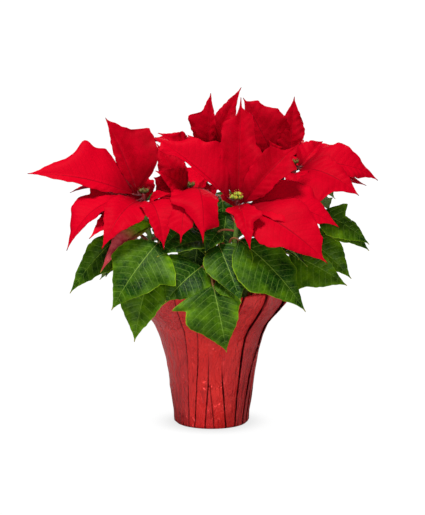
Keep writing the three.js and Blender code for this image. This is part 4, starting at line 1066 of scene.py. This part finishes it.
# %% Crumbs and perlite on it
CRUMBS, WHITE_CRUMBS, DARK_SIZE, WHITE_SIZE = 170, 46, 1.6, 1.1
SIZE_RANGE, LUMPINESS, LUMP_CELLS, EDGE_GAP = (0.6, 0.9), 0.35, 1.3, 2
CRUMB_PROFILE = [[0.2, -0.8], [0.75, -0.5], [1, 0], [0.7, 0.55], [0.15, 0.8]]
chance = random_run(23)
for i in range(CRUMBS):
    reach = blend_to(SOIL_HOLE + EDGE_GAP, edge - EDGE_GAP, math.sqrt(next(chance)))
    turn = TURN * next(chance)
    spot = np.array([reach * math.cos(turn), reach * math.sin(turn), SOIL_TOP + 0.5])
    white = i < WHITE_CRUMBS
    size = (WHITE_SIZE if white else DARK_SIZE) * (SIZE_RANGE[0] + SIZE_RANGE[1] * next(chance))
    lump, walls = turned(CRUMB_PROFILE, 9, (0, 0, 0), direction(TURN * next(chance), next(chance)))
    rough = 1 + LUMPINESS * noise_at(lump, LUMP_CELLS, i)[:, None]
    bunch.add(lump * size * rough + spot, walls, 1 if white else 0)
shown(bunch.make("peat", [PEAT_FINISH, PERLITE_FINISH]), "soil")

# %% [markdown]
# ## The foil cover
#
# The cover is one sheet of red foil, pulled up round the pot. It lies in knife pleats: each panel slopes
# gently, and steps back sharply at a fold. Most folds start at the foot and run up with a lean, some join,
# and some die out halfway. Each fold has its own short list of [height, angle, strength]; between two folds
# the sheet is sampled finely next to the fold and coarsely elsewhere, so that the fold stays crisp.

# %% Profile and folds
COVER_PROFILE = np.array([[44.5, 0], [47, 2.5], [47.6, 14], [54.6, 64], [58.6, 90], [65, 113], [71.7, 128],
                          [91, 151], [100, 163], [105, 178]])
COVER_WAIST, COVER_TOP = 128, 178
ROUNDING, ROUND_FROM, ROUND_OVER = 5, 3, 20  # the foot's own corner stays crisp
FOLD_DEPTHS = (0.45, 1.3, 3.2)  # half depths at the foot, the waist and the rim
FRONT_FOLDS = [
    [[0, -49, 1], [24, -47, 0.2], [100, -44, 0.3], [178, -46, 1]],
    [[0, -37, 1.2], [70, -31.5, 1.3], [110, -29, 1.8], [138, -26.7, 2.4], [178, -25, 1.5]],
    [[0, -26.6, 1], [55, -20, 1], [85, -16.7, 1], [118, -14.5, 0.6], [178, -12, 0.7]],
    [[0, -10, 0.9], [58, -4.2, 0.9], [85, -3.5, 0.5], [105, -3.5, 0], [130, -3, 0], [178, -2, 0.6]],
    [[0, 4.2, 0.7], [56, -1.9, 0.6], [62, -1, 0], [120, 4, 0], [178, 9, 0.5]],
    [[0, 22.7, 1], [60, 14.5, 0.9], [80, 13.2, 0.4], [100, 13.5, 0], [125, 17, 0.1], [178, 22, 0.8]],
    [[0, 38.5, 1], [117, 39.4, 1.1], [150, 40.5, 1.0], [178, 41, 0.8]],
    [[0, 56.4, 1], [65, 60, 1], [99, 72, 0.8], [178, 62, 1]],
]
FRONT_TONES = [0.25, 0.85, 1.0, 0.8, 1.0, 0.7, 0.2, 0.1]  # how bright the panel after each fold is painted, 0 to 1: painted light, as each faces the light its own way
OTHER_FOLDS, WIDTH_SPREAD, BEND_TURN, TOP_TURN = 13, 0.35, 9, 12
BEND_HEIGHTS, SIDE_TONES = (60, 60), (0.1, 0.5)  # the least, and what chance adds
random = random_run(11)
widths = np.array([1 + WIDTH_SPREAD * (2 * next(random) - 1) for _ in range(OTHER_FOLDS + 1)])
first_free, free_turn = FRONT_FOLDS[-1][0][1], 360 + FRONT_FOLDS[0][0][1] - FRONT_FOLDS[-1][0][1]
starts = first_free + np.cumsum(widths / widths.sum())[:-1] * free_turn
FOLDS = FRONT_FOLDS + [
    [[0, start, 1],
     [BEND_HEIGHTS[0] + BEND_HEIGHTS[1] * next(random), start + BEND_TURN * (next(random) - 0.5),
      next(random)],
     [COVER_TOP, start + TOP_TURN * (next(random) - 0.5), 1]] for start in starts]
TONES = FRONT_TONES + [SIDE_TONES[0] + SIDE_TONES[1] * next(random) for _ in starts]
print("folds:", len(FOLDS))


def cover_radius(height):
    """The wall's profile, rounded over a few millimetres so that it has no kinks."""
    spread = ROUNDING * np.clip((height - ROUND_FROM) / ROUND_OVER, 0, 1)
    return np.mean([np.interp(height + share * spread, COVER_PROFILE[:, 1], COVER_PROFILE[:, 0])
                    for share in (-1, -0.6, -0.2, 0.2, 0.6, 1)], axis=0)


# %% The pleats at one height
NEAR_FOLD = np.array([0, 0.35, 0.8, 1.4])  # millimetres from a fold where the sheet is sampled, on its right
BEFORE_FOLD = np.array([1.2, 0.5])  # and on its left
PANEL = np.array([0.03, 0.11, 0.2, 0.31, 0.43, 0.56, 0.69, 0.82, 0.95])  # shares of the rest of the panel
FULL_PANEL = 6  # narrower panels are sampled closer to their folds
RAG, SLACK = 0.14, 0.25  # how ragged a fold's line is, and how far a panel sags between folds
RAG_LENGTHS, SAG_LENGTH = (3.1, 1.7), 23  # how far up the cover each of them swings
SHADE_WIDTH, SHADE_GROWTH, SHADE_BEFORE = 0.45, 0.35, 0.9  # of the dark line on each side of a fold
SHADE, FLICKERS = 1.05, ((0.2, 9.3, 3), (0.1, 3.3, 1))  # how dark it is, and how that varies up its length


def pleats_at(height):
    """Round the cover: angles in degrees, in or out, how dark the folds are painted (painted shade), and each
    panel's tone (painted light).
    """
    places, strengths = ([np.interp(height, *np.array(fold)[:, [0, value]].T) for fold in FOLDS]
                         for value in (1, 2))
    panels = []
    for i, (start, here) in enumerate(zip(places, strengths)):
        span = (places[i + 1] if i + 1 < len(places) else places[0] + 360) - start
        following = strengths[(i + 1) % len(places)]
        width = math.radians(span) * cover_radius(height)
        squeeze = min(1, width / FULL_PANEL)
        first, last = NEAR_FOLD * squeeze, width - BEFORE_FOLD * squeeze
        along = np.concatenate([first, blend_to(first[-1], last[0], PANEL), last])
        swing = [math.sin(height / length + shift * i) for length, shift in zip(RAG_LENGTHS, (5, 2))]
        rag = RAG * squeeze * sum(swing)
        turn = start + span * (along + rag * np.sin(math.pi * along / width) ** 0.2) / width
        step = np.interp(along, [0, first[2], width], [-here, here, -following])
        sag = SLACK * np.sin(along / width * math.pi) * math.sin(7 * i + height / SAG_LENGTH)
        # painted shade: a dark line along each fold, and a softer one before the next
        deep = here * sum((size * math.sin(height / length + shift * i) for size, length, shift in FLICKERS),
                          SHADE)
        dark = deep * np.exp(-(along / (SHADE_WIDTH + SHADE_GROWTH * here)) ** 2)
        dark += following * np.exp(-((width - along) / SHADE_BEFORE) ** 2)
        panels.append([turn, step + sag, dark, np.full(len(along), TONES[i])])
    return np.concatenate(panels, axis=1)


print("points round the foot:", pleats_at(0).shape[1])

# %% The crumpled ring at one height
RIM_WAVES = ((3.2, 3, 1), (2.4, 7, 2))  # height, count and shift of the waves of the rim
PLEAT_LIFT, FIRM_FOOT, LOOSE_RIM = 0.8, 12, 1.6
CREASES = ((0.35, (0.06, 0.06, 0.03), 7.0), (0.16, (0.16, 0.16, 0.05), 4.0))  # depth, cells, shift
HOLLOWS = (0.5, 0.035, 2.0)


def cover_ring(height, inset):
    turn, swing, dark, tone = pleats_at(height)
    turn = np.radians(turn - 90)
    flare = np.clip((height - COVER_WAIST) / (COVER_TOP - COVER_WAIST), 0, 1)
    depth = np.interp(height, [0, 3, COVER_WAIST, COVER_TOP], [0, *FOLD_DEPTHS])
    reach = cover_radius(height) + depth * swing - inset
    lift = sum(size * np.sin(count * turn + shift) for size, count, shift in RIM_WAVES) + PLEAT_LIFT * swing
    out = np.stack([np.cos(turn), np.sin(turn), 0 * turn], -1)
    ring = out * reach[:, None] + [0, 0, 1] * (height + flare * lift)[:, None]
    crumple = HOLLOWS[0] * noise_at(ring, *HOLLOWS[1:])
    crumple += sum(size * (1 - 4 * np.abs(noise_at(ring, cells, shift))) for size, cells, shift in CREASES)
    firm = np.clip(height / FIRM_FOOT, 0, 1)
    return ring + out * (firm * (1 + LOOSE_RIM * flare) * crumple)[:, None], dark, tone


rim_heights = cover_ring(COVER_TOP, 0)[0][:, 2]
print("the rim runs from", round(rim_heights.min()), "to", round(rim_heights.max()), "mm high")


# %% The sheet of foil
# The outer face runs up from the floor, and the inner face back down to just over it.
FOIL = 0.35  # thickness
heights = np.concatenate([[0.0, 0.6, 1.4, 2.5, 4, 6, 8.5], np.linspace(11, COVER_TOP, 72)])
outer, fold_shade, panel = (np.array(part) for part in zip(*[cover_ring(height, 0) for height in heights]))
inner = np.array([cover_ring(height, FOIL)[0] for height in heights[:1:-1]])
inner[-1, :, 2] = np.maximum(inner[-1, :, 2], FOIL)
sheet = np.concatenate([outer, inner])
dark, light = (np.concatenate([part, part[:1:-1]]).ravel() for part in (fold_shade, panel))
bunch = Bunch()
# the painted shade of the folds rides in the tone attribute, and each panel's painted light in across
bunch.add(*stacked(sheet), 0, along=sheet[..., 2].ravel() / COVER_TOP, across=light, tone=dark)
print("foil sheet:", sheet.shape[0], "rings of", sheet.shape[1], "points")


# %% [markdown]
# Florist's foil is thin metal under a coloured lacquer: part metallic and satin. Each panel is painted a tone
# of its own, from brick red to a bright satin red, as each faces the light in its own way: painted light.
# Folds are painted nearly black, and neither shine nor mirror, because light is trapped in them: painted
# shade. Fine upright ribs, wider swirls and small wrinkles stay in the relief of the finish, as they are too
# fine for the mesh, and the ribs also draw thin dark lines of painted shade.

# %% Foil finish
def foil_finish():
    finish, tree, shader = new_finish("red_lacquered_foil", {"Roughness": 0.36, "Coat Roughness": 0.22})
    # the tone attribute holds the folds' painted shade, and across each panel's painted light
    fold, panel = (add(tree, "Attribute", out="Fac", attribute_name=name) for name in ("tone", "across"))
    place = add(tree, "TexCoord", out="Object")
    long, upright = (add(tree, "Mapping", {"Vector": place, "Scale": (PER_METRE, PER_METRE, height)})
                     for height in (300, 28))
    wrinkle = add(tree, "TexVoronoi", {"Vector": long, "Scale": 0.12}, out="Distance",
                  feature="DISTANCE_TO_EDGE")
    cloud, fine, rib, swirl = (
        add(tree, "TexNoise", {"Vector": where, "Scale": scale, "Detail": detail, "Roughness": roughness,
                               "Distortion": distortion})
        for where, scale, detail, roughness, distortion in (
            (place, 30.0, 4.0, 0.5, 0), (long, 0.35, 5.0, 0.6, 0), (upright, 0.3, 3.0, 0.5, 0.6),
            (long, 0.09, 2.0, 0.5, 2.5)))
    mottle, dark = (add(tree, "MapRange", {"Value": value, "From Min": start, "From Max": end})
                    for value, start, end in ((cloud, 0.3, 0.7), (fold, 0.05, 0.8)))
    # painted shade: thin dark lines in the valleys of the upright ribs
    rib_shade = add(tree, "MapRange", {"Value": rib, "From Min": 0.36, "From Max": 0.43, "To Min": 0.3,
                                   "To Max": 0.0}, interpolation_type="SMOOTHSTEP")
    parts = {"mottle": mottle, "panel": panel, "rib_shade": rib_shade, "dark": dark}
    # painted light: panels that face the light are painted a bright satin red
    parts["satin"] = lay_coats(tree, parts, "#e4181a", [("mottle", "#ff2c26")])
    # painted shade: the dark coat blackens the folds
    colour = lay_coats(tree, parts, "#c8242a", [
        ("mottle", "#e63c3e"), ("panel", "satin"), ("rib_shade", "#7c0c14"), ("dark", "#1c0204")])
    dress(tree, shader, colour, [(wrinkle, 0.25, 0.0008), (fine, 0.3, 0.0006), (rib, 0.5, 0.0012),
                                 (swirl, 0.8, 0.004)])
    for socket, most in (("Metallic", 0.35), ("Specular IOR Level", 0.5), ("Coat Weight", 0.14)):
        level = add(tree, "MapRange", {"Value": dark, "To Min": most, "To Max": 0.0})
        tree.links.new(level, shader.inputs[socket])
    return finish


shown(bunch.make("foil_cover", [foil_finish()]), "pot_cover")

# %% [markdown]
# ## Studio
#
# The plant stands on a plain white table with a white surround. The key light stands high on the front left
# and is small enough to draw shadows between the leaves. A light from the front fills them, and a weak one
# from behind lifts the edges. The table glows nearly white to the camera, and darkens softly where the cover
# closes off its sky. The surround is white to the camera but lights the plant less, so that the hollows
# between the leaves stay dark.

# %% Table
TABLE_RADIUS, TABLE_DROP = 0.9, 0.0004  # metres, from here on
SHADE_REACH, CLOSED, OPEN, SHADED = 0.045, 0.45, 0.95, 0.8  # how far the soft shadow looks, and its limits
bpy.ops.mesh.primitive_circle_add(vertices=96, radius=TABLE_RADIUS, fill_type="NGON",
                                  location=(0, 0, -TABLE_DROP))
table_top = bpy.context.object
table_top.name = "table_top"
finish, tree, shader = new_finish("white_table", {
    "Emission Color": "#ffffff", "Roughness": 0.7, "Specular IOR Level": 0.0})
place = add(tree, "TexCoord", out="Object")
cloud = add(tree, "TexNoise", {"Vector": place, "Scale": 6.0, "Detail": 3.0})
seen = add(tree, "LightPath", out="Is Camera Ray")
colour = lay_coats(tree, {"cloud": cloud, "seen": seen}, "#b8b8b8",
                   [("cloud", "#bebebe"), ("seen", "#262626")])
sky = add(tree, "AmbientOcclusion", {"Distance": SHADE_REACH}, out="AO", samples=16)
level = add(tree, "MapRange", {"Value": sky, "From Min": CLOSED, "From Max": OPEN, "To Min": SHADED,
                               "To Max": 1.0}, interpolation_type="SMOOTHSTEP")
glow = add(tree, "Math", {0: seen, 1: level}, operation="MULTIPLY")
tree.links.new(glow, shader.inputs["Emission Strength"])
dress(tree, shader, colour, [])
table_top.data.materials.append(finish)
table_top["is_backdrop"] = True
print("table:", table_top.name)

# %% Surround
LIT, SEEN_WHITE = 0.14, 1.05  # the surround's strength for the plant, and for the camera
scene = bpy.context.scene
world = bpy.data.worlds.new("white_surround")
scene.world = world
world.use_nodes = True
tree = world.node_tree
tree.nodes.clear()
seen = add(tree, "LightPath", out="Is Camera Ray")
lit, white = (add(tree, "Background", {"Color": "#ffffff", "Strength": strength})
              for strength in (LIT, SEEN_WHITE))
add(tree, "OutputWorld", {"Surface": add(tree, "MixShader", {0: seen, 1: lit, 2: white})})
scene.view_settings.view_transform = "Standard"
print("world:", world.name)

# %% Lights
# Where each stands, where it points, how wide it is in metres, and its power in watts.
LIGHTS = {"key_light": ((-0.45, -0.85, 2.2), (0, 0, 0.2), 0.6, 48),
          "back_light": ((0.5, 1.9, 1.1), (0, 0, 0.2), 0.8, 9),
          "fill_light": ((0.15, -2.3, 0.5), (0, 0, 0.12), 0.7, 20)}


def stand(thing, spot, target):
    """Stands a light or a camera at a spot, and turns it to its target."""
    thing.location = spot
    thing.rotation_euler = (Vector(target) - Vector(spot)).to_track_quat("-Z", "Y").to_euler()
    scene.collection.objects.link(thing)


for name, (spot, target, size, power) in LIGHTS.items():
    lamp = bpy.data.lights.new(name, "AREA")
    lamp.shape, lamp.size, lamp.energy = "DISK", size, power
    stand(bpy.data.objects.new(name, lamp), spot, target)
print("lights:", list(LIGHTS))

# %% Camera
LENS, SENSOR, CAMERA_AWAY, CAMERA_RISE = 139.8, 36, 2.5, math.radians(9)
camera_data = bpy.data.cameras.new("camera")
camera_data.lens, camera_data.sensor_width = LENS, SENSOR
camera = bpy.data.objects.new("camera", camera_data)
target = Vector((0.00125, 0, 0.209))
stand(camera, target + CAMERA_AWAY * Vector((0, -math.cos(CAMERA_RISE), math.sin(CAMERA_RISE))), target)
scene.camera = camera
print("camera at", [round(x, 3) for x in camera.location])

# %% [markdown]
# ## Sizes
#
# The fine pieces must stay in the plain solids' box, give or take the veins and waves.

# %% Print both boxes and finish
bpy.context.view_layer.update()
LOOKS_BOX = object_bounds()
for name, box in (("CAD", CAD_BOX), ("looks", LOOKS_BOX)):
    print(name, "size in mm:", [round((high - low) * 1000, 1) for low, high in zip(*box)])
